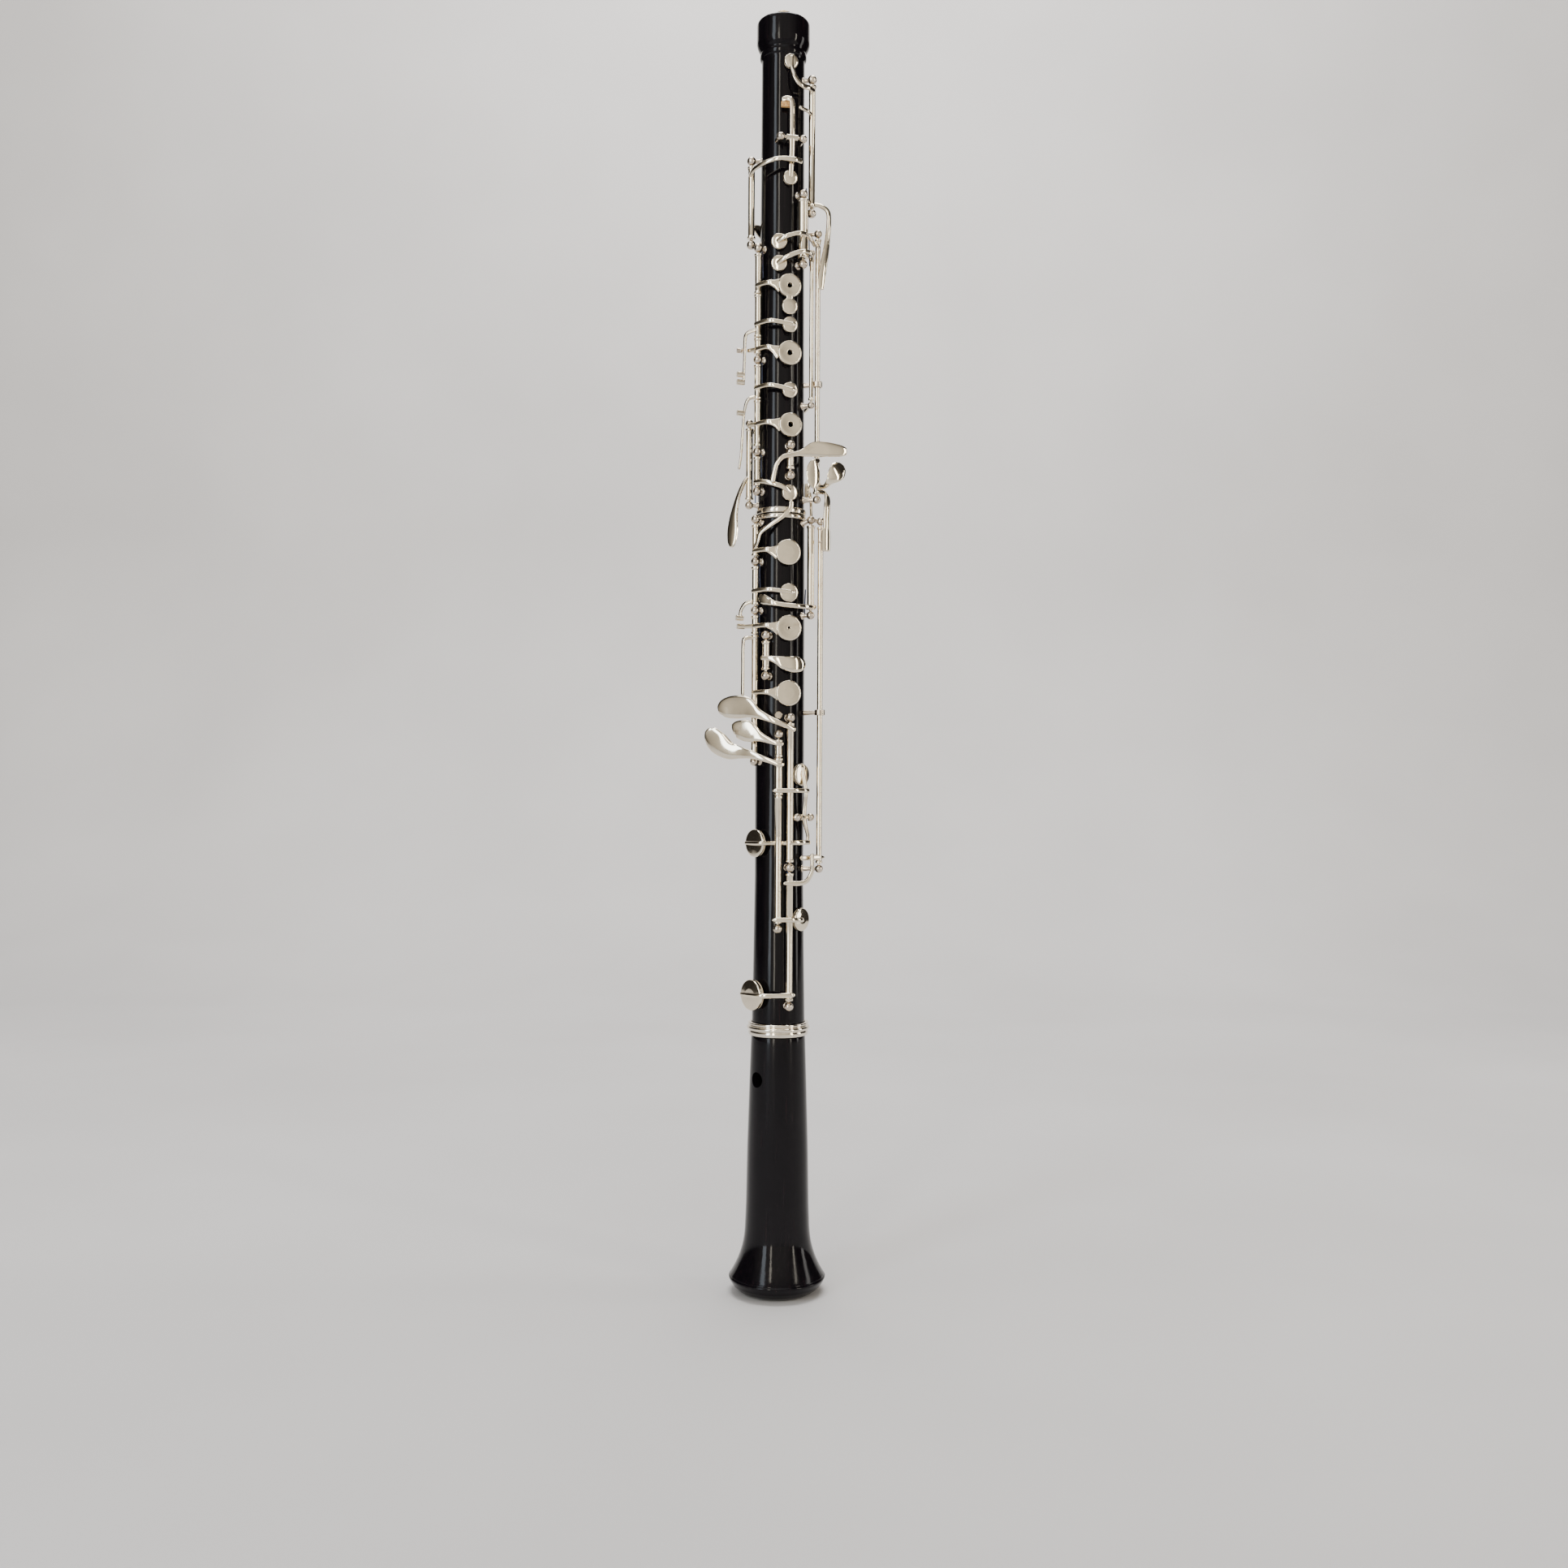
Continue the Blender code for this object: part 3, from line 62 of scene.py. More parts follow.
# Lengths along the bore
LENGTH = 590.0
BELL_TOP = 122.7
JOINT_PLANE = 356.9
TENON = 16.0
SOCKET_DEPTH = 17.0
REED_SOCKET_DEPTH = 22.0
REED_SOCKET_RADIUS = 3.3

# Outsides, as (radius, height) from the top down
CROWN = [(4.75, 588.4), (4.75, 585.6), (10.9, 585.6), (11.8, 585.2), (12.25, 584.2), (12.25, 575.0),
         (11.6, 573.2), (10.5, 571.3), (10.4, 570.9), (10.8, 570.4), (10.8, 568.4), (9.9, 567.4)]
UPPER_SIDE = [(10.0, 520.0), (10.35, 430.0), (10.7, 359.9)]
LOWER_SIDE = [(11.0, 353.9), (11.3, 250.0), (11.2, 190.0), (11.8, 148.0), (12.2, 124.9)]
BELL_SIDE = [(12.5, 117.3), (13.2, 95.0), (14.1, 65.0), (14.5, 40.0), (15.0, 27.0), (15.9, 21.0),
             (17.6, 15.6), (19.5, 11.4), (21.3, 8.2), (22.2, 6.9), (22.2, 6.0), (20.8, 3.6),
             (18.6, 1.3), (16.2, 0.0)]

# Bore radii, as (radius, height) from the bottom up
BELL_BORE = [(13.0, 0.0), (12.4, 8.0), (11.7, 20.0), (10.9, 50.0), (9.0, 104.0)]
LOWER_BORE = [(7.8, 105.4), (5.2, 339.6)]
UPPER_BORE = [(5.0, 340.9), (2.4, 567.0)]

# Tone holes, as (azimuth, height, radius, seat radius)
UPPER_HOLES = [(2.4, 562.9, 0.9, 2.6), (2.0, 509.7, 0.9, 2.6), (-22.0, 480.4, 1.7, 3.0),
               (-22.0, 470.4, 1.7, 3.0), (0.0, 459.9, 2.4, 4.4), (1.0, 442.1, 1.7, 2.9),
               (0.6, 429.2, 2.6, 4.6), (1.1, 412.3, 1.9, 2.9), (2.5, 396.5, 2.8, 4.6),
               (3.1, 365.8, 2.0, 3.0), (78.0, 369.2, 1.9, 2.9)]
LOWER_HOLES = [(-1.4, 338.4, 2.8, 4.9), (0.5, 320.2, 2.2, 3.5), (0.6, 304.0, 3.0, 4.9),
               (0.4, 274.4, 3.2, 4.9), (35.0, 237.5, 2.8, 4.2), (-65.0, 206.1, 3.8, 5.2),
               (35.5, 171.3, 3.4, 4.4), (-64.5, 137.0, 4.5, 6.0)]

# Hinge lines, as (azimuth, radius)
SIDE_OCTAVE = (53.0, 14.4)
THUMB_OCTAVE = (-95.0, 14.6)
UPPER_TRILL = (28.5, 13.7)
LOWER_TRILL = (50.0, 14.9)
LEFT_LEVERS = (60.0, 17.0)
LEFT_STACK = (-68.5, 13.6)
TRILL_SPOON = (-95.0, 14.9)
G_SHARP = (2.7, 13.6)
RIGHT_STACK = (-68.0, 14.4)
SIDE_KEY = (48.5, 15.4)
F_KEY = (-41.4, 14.6)
LOW_B_ROD = (57.0, 19.2)
FOOT_OUTER = (3.6, 14.9)
FOOT_INNER = (-17.0, 14.9)

# Rockers turn about a cross pin, as (azimuth, radius, height)
OCTAVE_ROCKER = (2.0, 13.9, 527.0)
E_FLAT_ROCKER = (37.7, 13.8, 218.0)
ROCKER_HALF_SPAN = 5.3

TUBE_RADIUS = 1.55
THIN_TUBE_RADIUS = 1.2
PIN_RADIUS = 0.6
THIN_PIN_RADIUS = 0.45
RUNNING_GAP = 0.3
SLEEVE_RADIUS = 1.1
BALL_RADIUS = 2.1
SMALL_BALL_RADIUS = 1.9
BARREL_RADIUS = 1.3
VENT_CUP_RADIUS = 3.6
BARREL_LENGTH = 3.4
SIDE_POST_TOP = 354.2

PLATE_HEIGHT = 2.5
CUP_HEIGHT = 2.3
OPEN_LIFT = 1.5
LOW_C_LIFT = 1.7
LOW_B_LIFT = 2.2
CLOSED_LIFT = 0.35

BODY_TURNS = 96
CUP_TURNS = 40
STRAP_SIDES = 16
SAMPLES = 7
ARM_HALF_THICKNESS = 0.7
ROOT = "instrument_body"

# The studio, in metres: the cove's half width, front, corner, corner radius and height, and the lights
COVE_HALF_WIDTH = 1.35
COVE_FRONT = -1.3
COVE_CORNER = 0.9
COVE_RADIUS = 0.6
COVE_HEIGHT = 2.6
MIDDLE = 0.30
# Tall lights, as name, azimuth, distance, height, size, power and colour
TALL_LIGHTS = [("window_left", -56.0, 1.4, 0.55, (0.28, 1.5), 10.0, (0.80, 0.90, 1.0)),
               ("thin_left", -34.0, 1.6, 0.60, (0.14, 1.4), 7.5, (1.0, 0.93, 0.80)),
               ("thin_right", 40.0, 1.5, 0.50, (0.12, 1.3), 7.0, (1.0, 0.93, 0.80)),
               ("card_right", 76.0, 1.5, 0.45, (0.25, 1.2), 5.0, (1.0, 0.97, 0.93))]
# The side that the room is bright on
BRIGHT_SIDE = -20.0

# The camera, in metres and in the instrument's frame
CAMERA_AT = (-0.1789, -0.6676, 0.2301)
CAMERA_TURN = -15.0
CAMERA_RIGHT = (0.99998, -0.00308, 0.00540)
CAMERA_UP = (-0.00541, -0.00447, 0.99998)
CAMERA_LENS = 34.30


# ---- places and directions

def outward(azimuth):
    angle = radians(azimuth)
    return Vector((sin(angle), -cos(angle), 0.0))


def sideways(azimuth):
    angle = radians(azimuth)
    return Vector((cos(angle), sin(angle), 0.0))


def at(azimuth, radius, height):
    """The point at an azimuth, a radius and a height, in metres."""
    return (outward(azimuth) * radius + Vector((0.0, 0.0, height))) * MM


def side_radius(height):
    """The wooden outside's radius at a height, read along its straight tapers."""
    points = UPPER_SIDE + LOWER_SIDE + BELL_SIDE[:4]
    for (upper, top), (lower, bottom) in zip(points, points[1:]):
        if bottom <= height <= top:
            return lower + (upper - lower) * (height - bottom) / (top - bottom)
    return points[0][0]


# ---- materials

def nodes_of(made):
    made.use_nodes = True
    tree = made.node_tree
    return tree, tree.nodes["Principled BSDF"]


def noise(tree, scale, detail=4.0, stretch=(1.0, 1.0, 1.0)):
    """Noise in the object's own metres, stretched along an axis where asked."""
    place = tree.nodes.new("ShaderNodeTexCoord")
    spread = tree.nodes.new("ShaderNodeMapping")
    spread.inputs["Scale"].default_value = stretch
    texture = tree.nodes.new("ShaderNodeTexNoise")
    texture.inputs["Scale"].default_value = scale
    texture.inputs["Detail"].default_value = detail
    tree.links.new(place.outputs["Object"], spread.inputs["Vector"])
    tree.links.new(spread.outputs["Vector"], texture.inputs["Vector"])
    return texture.outputs["Fac"]


def ramp(tree, source, stops):
    """A colour or grey ramp, as (position, colour) stops."""
    made = tree.nodes.new("ShaderNodeValToRGB")
    made.color_ramp.elements[0].position = stops[0][0]
    made.color_ramp.elements[0].color = (*stops[0][1], 1.0)
    made.color_ramp.elements[1].position = stops[-1][0]
    made.color_ramp.elements[1].color = (*stops[-1][1], 1.0)
    for position, colour in stops[1:-1]:
        made.color_ramp.elements.new(position).color = (*colour, 1.0)
    tree.links.new(source, made.inputs["Fac"])
    return made.outputs["Color"]


def grey(level):
    return (level, level, level)


def bump(tree, shader, source, strength, distance):
    made = tree.nodes.new("ShaderNodeBump")
    made.inputs["Strength"].default_value = strength
    made.inputs["Distance"].default_value = distance
    tree.links.new(source, made.inputs["Height"])
    tree.links.new(made.outputs["Normal"], shader.inputs["Normal"])


def black_body():
    """Polished black wood: a faint grain along the bore, worn sheen and hair scratches."""
    made = bpy.data.materials.new("polished_black_wood")
    tree, shader = nodes_of(made)
    grain = noise(tree, 900.0, 6.0, (1.0, 1.0, 0.06))
    colour = ramp(tree, grain, [(0.30, (0.0020, 0.0018, 0.0028)), (0.62, (0.0045, 0.0034, 0.0048)),
                                (0.80, (0.0130, 0.0052, 0.0066))])
    tree.links.new(colour, shader.inputs["Base Color"])
    sheen = ramp(tree, noise(tree, 60.0, 5.0), [(0.35, grey(0.06)), (0.70, grey(0.17))])
    tree.links.new(sheen, shader.inputs["Roughness"])
    shader.inputs["Specular IOR Level"].default_value = 0.18
    bump(tree, shader, grain, 0.10, 0.0002)
    return made


def metal(name, clean, worn, smooth, rough, tarnish=0.62):
    """Plated metal: clean where it is rubbed, browner and duller in patches, with fine handling marks."""
    made = bpy.data.materials.new(name)
    tree, shader = nodes_of(made)
    patches = noise(tree, 150.0, 6.0)
    colour = ramp(tree, patches, [(0.30, clean), (tarnish, [c * 0.93 for c in clean]), (0.85, worn)])
    tree.links.new(colour, shader.inputs["Base Color"])
    marks = noise(tree, 420.0, 8.0, (1.0, 1.0, 0.35))
    tree.links.new(ramp(tree, marks, [(0.30, grey(smooth)), (0.75, grey(rough))]), shader.inputs["Roughness"])
    shader.inputs["Metallic"].default_value = 1.0
    bump(tree, shader, marks, 0.04, 0.0001)
    return made


def soft(name, dark, light, roughness, scale):
    """Cork or skin: mottled, matt and pitted."""
    made = bpy.data.materials.new(name)
    tree, shader = nodes_of(made)
    mottle = noise(tree, scale, 8.0)
    tree.links.new(ramp(tree, mottle, [(0.35, dark), (0.65, light)]), shader.inputs["Base Color"])
    pits = ramp(tree, mottle, [(0.3, grey(roughness)), (0.7, grey(min(1.0, roughness + 0.15)))])
    tree.links.new(pits, shader.inputs["Roughness"])
    bump(tree, shader, mottle, 0.5, 0.0003)
    return made


LOOKS = {
    "body": black_body(),
    "key": metal("nickel_plate", (0.88, 0.79, 0.63), (0.42, 0.31, 0.19), 0.05, 0.13),
    "post": metal("dull_nickel", (0.66, 0.58, 0.48), (0.28, 0.21, 0.14), 0.10, 0.25, 0.52),
    "ring": metal("ring_nickel", (0.86, 0.79, 0.67), (0.42, 0.32, 0.22), 0.06, 0.18),
    "cork": soft("tenon_cork", (0.36, 0.22, 0.11), (0.62, 0.43, 0.25), 0.8, 1400.0),
    "bumper": soft("bumper_cork", (0.46, 0.20, 0.06), (0.80, 0.52, 0.22), 0.75, 1500.0),
    "liner": metal("lacquered_brass", (0.86, 0.62, 0.26), (0.48, 0.30, 0.12), 0.14, 0.30),
    "pad": soft("pad_skin", (0.55, 0.44, 0.30), (0.74, 0.64, 0.48), 0.55, 900.0),
    "spring": metal("blued_steel", (0.10, 0.12, 0.20), (0.16, 0.10, 0.08), 0.20, 0.35),
}


# ---- shapes

def mesh_from(shape):
    bmesh.ops.recalc_face_normals(shape, faces=shape.faces)
    mesh = bpy.data.meshes.new("shape")
    shape.to_mesh(mesh)
    shape.free()
    return mesh


def turning(axis, origin):
    """The matrix that carries +Z to an axis and the origin to a point."""
    return Matrix.Translation(origin) @ Vector((0, 0, 1)).rotation_difference(axis).to_matrix().to_4x4()


def rounded(profile, size, bits=4, closed=False):
    """A profile with its corners turned into short curves."""
    points = [Vector(point) for point in profile]
    count = len(points)
    out = []
    for i, corner in enumerate(points):
        if not closed and i in (0, count - 1):
            out.append(tuple(corner))
            continue
        before = points[i - 1] - corner
        after = points[(i + 1) % count] - corner
        start = corner + before * min(0.49, size / max(before.length, 0.001))
        end = corner + after * min(0.49, size / max(after.length, 0.001))
        for k in range(bits + 1):
            t = k / bits
            out.append(tuple(start * (1 - t) ** 2 + corner * (2 * t * (1 - t)) + end * t ** 2))
    return out


def turned(profile, axis=Vector((0, 0, 1)), origin=Vector((0, 0, 0)), steps=BODY_TURNS, closed=False):
    """A solid turned from (radius, height) points in millimetres."""
    place = turning(axis, origin)
    shape = bmesh.new()
    rings = []
    for radius, height in profile:
        if radius < 0.001:
            rings.append([shape.verts.new(place @ Vector((0, 0, height * MM)))])
            continue
        ring = []
        for k in range(steps):
            turn = 2 * pi * k / steps
            ring.append(shape.verts.new(place @ Vector((radius * MM * cos(turn), radius * MM * sin(turn),
                                                        height * MM))))
        rings.append(ring)
    pairs = list(zip(rings, rings[1:]))
    if closed:
        pairs.append((rings[-1], rings[0]))
    for near, far in pairs:
        for k in range(steps):
            n = (k + 1) % steps
            corners = [near[k % len(near)], near[n % len(near)], far[n % len(far)], far[k % len(far)]]
            loop = [v for i, v in enumerate(corners) if v not in corners[:i]]
            if len(loop) > 2:
                shape.faces.new(loop)
    return mesh_from(shape)


def rod(start, end, radius, end_radius=None, sides=32):
    """A round rod or cone between two points, its ends slightly rounded."""
    far = radius if end_radius is None else end_radius
    length = (end - start).length / MM
    edge = min(0.18, radius * 0.25, length * 0.2)
    profile = [(0, 0), (radius - edge, 0), (radius, edge), (far, length - edge), (far - edge, length),
               (0, length)]
    return turned(profile, (end - start).normalized(), start, sides)


def ball(centre, radius=BALL_RADIUS):
    shape = bmesh.new()
    bmesh.ops.create_uvsphere(shape, u_segments=32, v_segments=18, radius=radius * MM,
                              matrix=Matrix.Translation(centre))
    return mesh_from(shape)


def box(centre, axis_x, axis_y, size):
    axis_z = axis_x.cross(axis_y)
    turn = Matrix((axis_x, axis_y, axis_z)).transposed().to_4x4()
    place = Matrix.Translation(centre) @ turn @ Matrix.Diagonal((*[s * MM for s in size], 1.0))
    shape = bmesh.new()
    bmesh.ops.create_cube(shape, size=1.0, matrix=place)
    edge = min(size) * 0.2 * MM
    bmesh.ops.bevel(shape, geom=shape.edges[:], offset=edge, segments=3, affect="EDGES", profile=0.5)
    return mesh_from(shape)


def broad_sides(stations, runs):
    """The way an arm's broad side faces at each station: outward, or to the azimuth given last."""
    ups = []
    for station, along in zip(stations, runs):
        up = outward(station[5] if len(station) > 5 else station[0])
        up = up - along * up.dot(along)
        ups.append(up.normalized() if up.length > 0.55 else None)
    known = [i for i, up in enumerate(ups) if up is not None]
    if not known:
        return [(Vector((0, 0, 1)) - along * along.z).normalized() for along in runs]
    filled = list(ups)
    for i, up in enumerate(ups):
        if up is None:
            near = min(known, key=lambda k: abs(k - i))
            filled[i] = runs[near].rotation_difference(runs[i]) @ ups[near]
    return filled


def curve_through(a, b, c, d, t):
    """A Catmull-Rom curve between b and c."""
    square = (2 * a - 5 * b + 4 * c - d) * t ** 2
    return 0.5 * (2 * b + (c - a) * t + square + (3 * b - a - 3 * c + d) * t ** 3)


def strap(stations, sides=STRAP_SIDES):
    """A smooth forged arm through (azimuth, radius, height, half width) stations.

    A half thickness may follow, and then the azimuth that the broad side faces.
    """
    centres = [at(*station[:3]) for station in stations]
    last = len(centres) - 1
    runs = [(centres[min(i + 1, last)] - centres[max(i - 1, 0)]).normalized() for i in range(last + 1)]
    ups = broad_sides(stations, runs)
    halves = [Vector((*station[3:5], ARM_HALF_THICKNESS)[:2]) for station in stations]
    rows = list(zip(centres, ups, halves))
    fine = []
    for i in range(last):
        four = [rows[max(i - 1, 0)], rows[i], rows[i + 1], rows[min(i + 2, last)]]
        for k in range(SAMPLES):
            t = k / SAMPLES
            fine.append([curve_through(*[row[j] for row in four], t) for j in range(3)])
    fine.append(list(rows[-1]))
    shape = bmesh.new()
    rings = []
    for i, (centre, up, half) in enumerate(fine):
        along = (fine[min(i + 1, len(fine) - 1)][0] - fine[max(i - 1, 0)][0]).normalized()
        up = (up - along * up.dot(along)).normalized()
        across = up.cross(along)
        width, thickness = max(half.x, 0.35) * MM, max(half.y, 0.3) * MM
        for shift, scale in end_caps(i, len(fine)):
            ring = []
            middle = centre + along * (shift * thickness)
            for k in range(sides):
                turn = 2 * pi * k / sides
                ring.append(shape.verts.new(middle + across * (width * scale * squared(cos(turn)))
                                            + up * (thickness * scale * squared(sin(turn)))))
            rings.append(ring)
    for near, far in zip(rings, rings[1:]):
        for k in range(sides):
            n = (k + 1) % sides
            shape.faces.new((near[k], near[n], far[n], far[k]))
    shape.faces.new(list(reversed(rings[0])))
    shape.faces.new(rings[-1])
    return mesh_from(shape)


def squared(value):
    """Pushes a circle's ordinate out a little, for an arm with a flatter face."""
    return abs(value) ** 0.82 * (1 if value >= 0 else -1)


def end_caps(index, count):
    """Shifts and scales of the rings at a place on an arm: three extra ones round each end off."""
    cap = [(0.86, 0.50), (0.55, 0.82), (0.0, 1.0)]
    if index == 0:
        return [(-shift, scale) for shift, scale in cap]
    if index == count - 1:
        return list(reversed(cap))
    return [(0.0, 1.0)]


# ---- pieces

def joined(name, meshes):
    """One mesh made of several."""
    shape = bmesh.new()
    for mesh in meshes:
        shape.from_mesh(mesh)
    whole = bpy.data.meshes.new(name)
    shape.to_mesh(whole)
    shape.free()
    return whole


def carved(mesh, cutters):
    """A mesh with others cut from it."""
    items = []
    for part in (mesh, joined("cutters", cutters)):
        item = bpy.data.objects.new("part", part)
        bpy.context.scene.collection.objects.link(item)
        items.append(item)
    change = items[0].modifiers.new("cut", "BOOLEAN")
    change.object = items[1]
    change.solver = "EXACT"
    bpy.context.view_layer.update()
    graph = bpy.context.evaluated_depsgraph_get()
    whole = bpy.data.meshes.new_from_object(items[0].evaluated_get(graph))
    for item in items:
        bpy.data.objects.remove(item)
    return whole


def add_piece(name, meshes, look, body, nodes=()):
    """Joins meshes into one piece that rides on a body and stands for CAD nodes."""
    whole = joined(name, meshes)
    whole.materials.append(LOOKS[look])
    whole.shade_smooth()
    whole.set_sharp_from_angle(angle=SHARP_ANGLE)
    piece = bpy.data.objects.new(name, whole)
    bpy.context.scene.collection.objects.link(piece)
    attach(piece, body)
    if nodes:
        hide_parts(*nodes)


def finish(name, pieces, look="post"):
    """The fine version of a node, with the pads of its cups as a piece of their own."""
    metals = [piece[0] if isinstance(piece, tuple) else piece for piece in pieces]
    pads = [piece[1] for piece in pieces if isinstance(piece, tuple)]
    body = name if name in frame["bodies"] else BODY_OF[name]
    add_piece(name + "_fine", metals, look, body, [name])
    if pads:
        add_piece(name + "_pad", pads, "pad", body)


BODY_OF = {node: body for body, nodes in frame["record"]["behaviour"]["bodies"].items() for node in nodes}


# ---- keywork building blocks

def tube(hinge, low, high, radius=TUBE_RADIUS, bore=None):
    """A hollow hinge tube with a small collar at each end."""
    length = high - low
    collar = radius + 0.35
    inner = radius * 0.5 if bore is None else bore
    profile = [(inner, 0), (collar - 0.2, 0), (collar, 0.2), (collar, 0.9), (radius + 0.1, 1.2),
               (radius, 1.5), (radius, length - 1.5), (radius + 0.1, length - 1.2),
               (collar, length - 0.9), (collar, length - 0.2), (collar - 0.2, length), (inner, length)]
    return turned(profile, Vector((0, 0, 1)), at(*hinge, low), 32, True)


def stem(hinge, height, foot_height=None):
    """A turned post from the wood up to its ball."""
    azimuth, radius = hinge
    foot = height if foot_height is None else foot_height
    start = at(azimuth, side_radius(foot) - 0.25, foot)
    end = at(azimuth, radius - 0.6, height)
    length = (end - start).length / MM
    profile = [(0, 0), (1.75, 0), (1.75, 0.55), (1.35, 0.75), (1.0, length * 0.55), (0.9, length - 0.5),
               (0, length)]
    return turned(rounded(profile, 0.3), (end - start).normalized(), start, 32)


def posts(name, hinge, heights, pin, feet=None, ball_radius=BALL_RADIUS):
    """Ball posts in a line with the steel pin that the tubes turn on."""
    feet = heights if feet is None else feet
    pieces = [rod(at(*hinge, min(heights)), at(*hinge, max(heights)), pin)]
    for height, foot in zip(heights, feet):
        pieces.append(ball(at(*hinge, height), ball_radius))
        pieces.append(stem(hinge, height, foot))
    finish(name, pieces)


def rocker_posts(name, rocker):
    azimuth, radius, height = rocker
    centre = at(*rocker)
    span = sideways(azimuth) * (ROCKER_HALF_SPAN * MM)
    pieces = [rod(centre - span, centre + span, PIN_RADIUS)]
    for side in (-1, 1):
        ball_centre = centre + span * side
        reach = sqrt(side_radius(height) ** 2 - ROCKER_HALF_SPAN ** 2)
        foot = ball_centre - outward(azimuth) * ((radius - reach) * MM)
        pieces.append(ball(ball_centre, SMALL_BALL_RADIUS))
        pieces.append(rod(foot, ball_centre, 1.25, 0.9))
    finish(name, pieces)


def cup(azimuth, height, radius, lift, top=CUP_HEIGHT, hole=0.0):
    """A key cup and its pad: rounded rim, shallow dome, and the pad standing below the rim."""
    origin = at(azimuth, side_radius(height) + lift, height)
    dish = 0.25 if hole else -0.25
    shell = [(hole, 1.0), (radius - 0.25, 1.0), (radius, 1.15), (radius, top - 0.55),
             (radius - 0.35, top - 0.1), (radius * 0.82, top), (radius * 0.45, top - dish * 0.8),
             (hole, top - dish)]
    pad = [(hole + 0.3, 0.0), (radius - 0.55, 0.0), (radius - 0.3, 0.3), (radius - 0.3, 1.05),
           (hole + 0.3, 1.05)]
    return (turned(rounded(shell, 0.35, closed=hole > 0), outward(azimuth), origin, CUP_TURNS, hole > 0),
            turned(rounded(pad, 0.25, closed=True), outward(azimuth), origin, CUP_TURNS, True))


def cup_top(height, lift, thickness=CUP_HEIGHT):
    return side_radius(height) + lift + thickness


def level_arm(hinge, height, cup_azimuth, cup_height, over):
    """An arm from over a hinge tube across to the top of a small cup."""
    azimuth, radius = hinge
    crown = radius + TUBE_RADIUS - 0.1
    middle = (azimuth + cup_azimuth) / 2
    far = cup_azimuth + 0.7 * VENT_CUP_RADIUS / over * DEGREES_PER_RADIAN
    return strap([
        (azimuth, crown, height, 1), (middle, max(crown, over) + 0.1, height, 1),
        (cup_azimuth, over + 0.2, cup_height, 1, 0.65), (far, over, cup_height, 0.7, 0.5)])


# ---- upper joint keys

def second_octave_key():
    """The side octave: a touch low on the right lifts the cup nearest the crown."""
    arm = strap([
        (53, 15.2, 552, 1.1, 0.8), (36, 15.3, 551.4, 1.1, 0.8), (18.6, 15.2, 551.3, 1.2, 0.8),
        (7, 14.6, 554.3, 1.1), (2.4, 12.9, 560, 1, 0.6), (2.4, 12.6, 564.6, 0.9, 0.5)])
    touch = strap([
        (53, 14.4, 499.6, 1, 0.9), (59, 18, 499.2, 1, 0.9, 45), (63, 21.3, 496.8, 1.1, 0.9, 30),
        (63, 21.8, 491, 1.2, 0.9, 20), (60.5, 21.2, 482, 1.4, 0.9, 12), (54.5, 20.4, 472, 1.8, 0.8, 8),
        (50.5, 19.8, 464, 1.9, 0.7, 6), (49.5, 19.6, 460, 1.5, 0.6, 6)])
    finger = strap([(53, 14.4, 540.6, 0.8, 0.8), (34, 14.9, 540.8, 0.8), (17, 14.6, 541.1, 0.8)])
    return [tube(SIDE_OCTAVE, 498.2, 554.4), arm, touch, finger, cup(2.4, 562.9, 3.4, CLOSED_LIFT)]


def first_octave_key():
    """A rocker on a cross pin: its upper end goes down as the cup at its lower end lifts."""
    azimuth, height = OCTAVE_ROCKER[0], OCTAVE_ROCKER[2]
    lever = strap([
        (-16, 13.2, 544.4, 1.1, 0.6), (-6, 13.9, 544.8, 1.2, 0.6), (1, 14.4, 543, 1.2),
        (azimuth, 14.4, 536.5, 1.2), (azimuth, 14.2, height, 1.3, 0.9), (azimuth, 13.6, 518, 1.2),
        (azimuth, 12.5, 509.9, 1, 0.5)])
    half = sideways(azimuth) * (2.7 * MM)
    cross = rod(at(*OCTAVE_ROCKER) - half, at(*OCTAVE_ROCKER) + half, 1.4)
    return [cross, lever, cup(azimuth, 509.7, 3.4, CLOSED_LIFT)]


def thumb_octave_key():
    """The thumb plate behind, with an arm that holds the first octave's rocker shut."""
    arm = strap([
        (-95, 15.4, 513.6, 1, 0.8), (-72, 15.9, 514.2, 1), (-48, 16.2, 515.1, 1), (-22, 16.3, 516.3, 1),
        (2, 16.2, 516.3, 1.1), (17, 15.7, 516.2, 1.1)])
    plate = strap([
        (-95, 14.6, 494, 1.2, 0.9), (-120, 14.3, 493.4, 1.4, 0.8), (-145, 13.8, 492.4, 3),
        (-168, 13.4, 492, 5), (170, 13.4, 492, 5), (152, 13.6, 492.2, 3)])
    return [tube(THUMB_OCTAVE, 484.6, 517.9), arm, plate]


def upper_trill_key():
    arm = strap([
        (-24.6, 13.15, 480.1, 1, 0.6), (-8, 15, 481.6, 1), (12, 16.1, 483.2, 1), (30, 15.9, 483.5, 1, 0.8),
        (42, 16, 482, 1), (52.5, 15.9, 480.5, 0.9, 0.6)])
    return [tube(UPPER_TRILL, 473.2, 500.0, 2.35), arm, cup(-22, 480.4, 3.7, CLOSED_LIFT)]


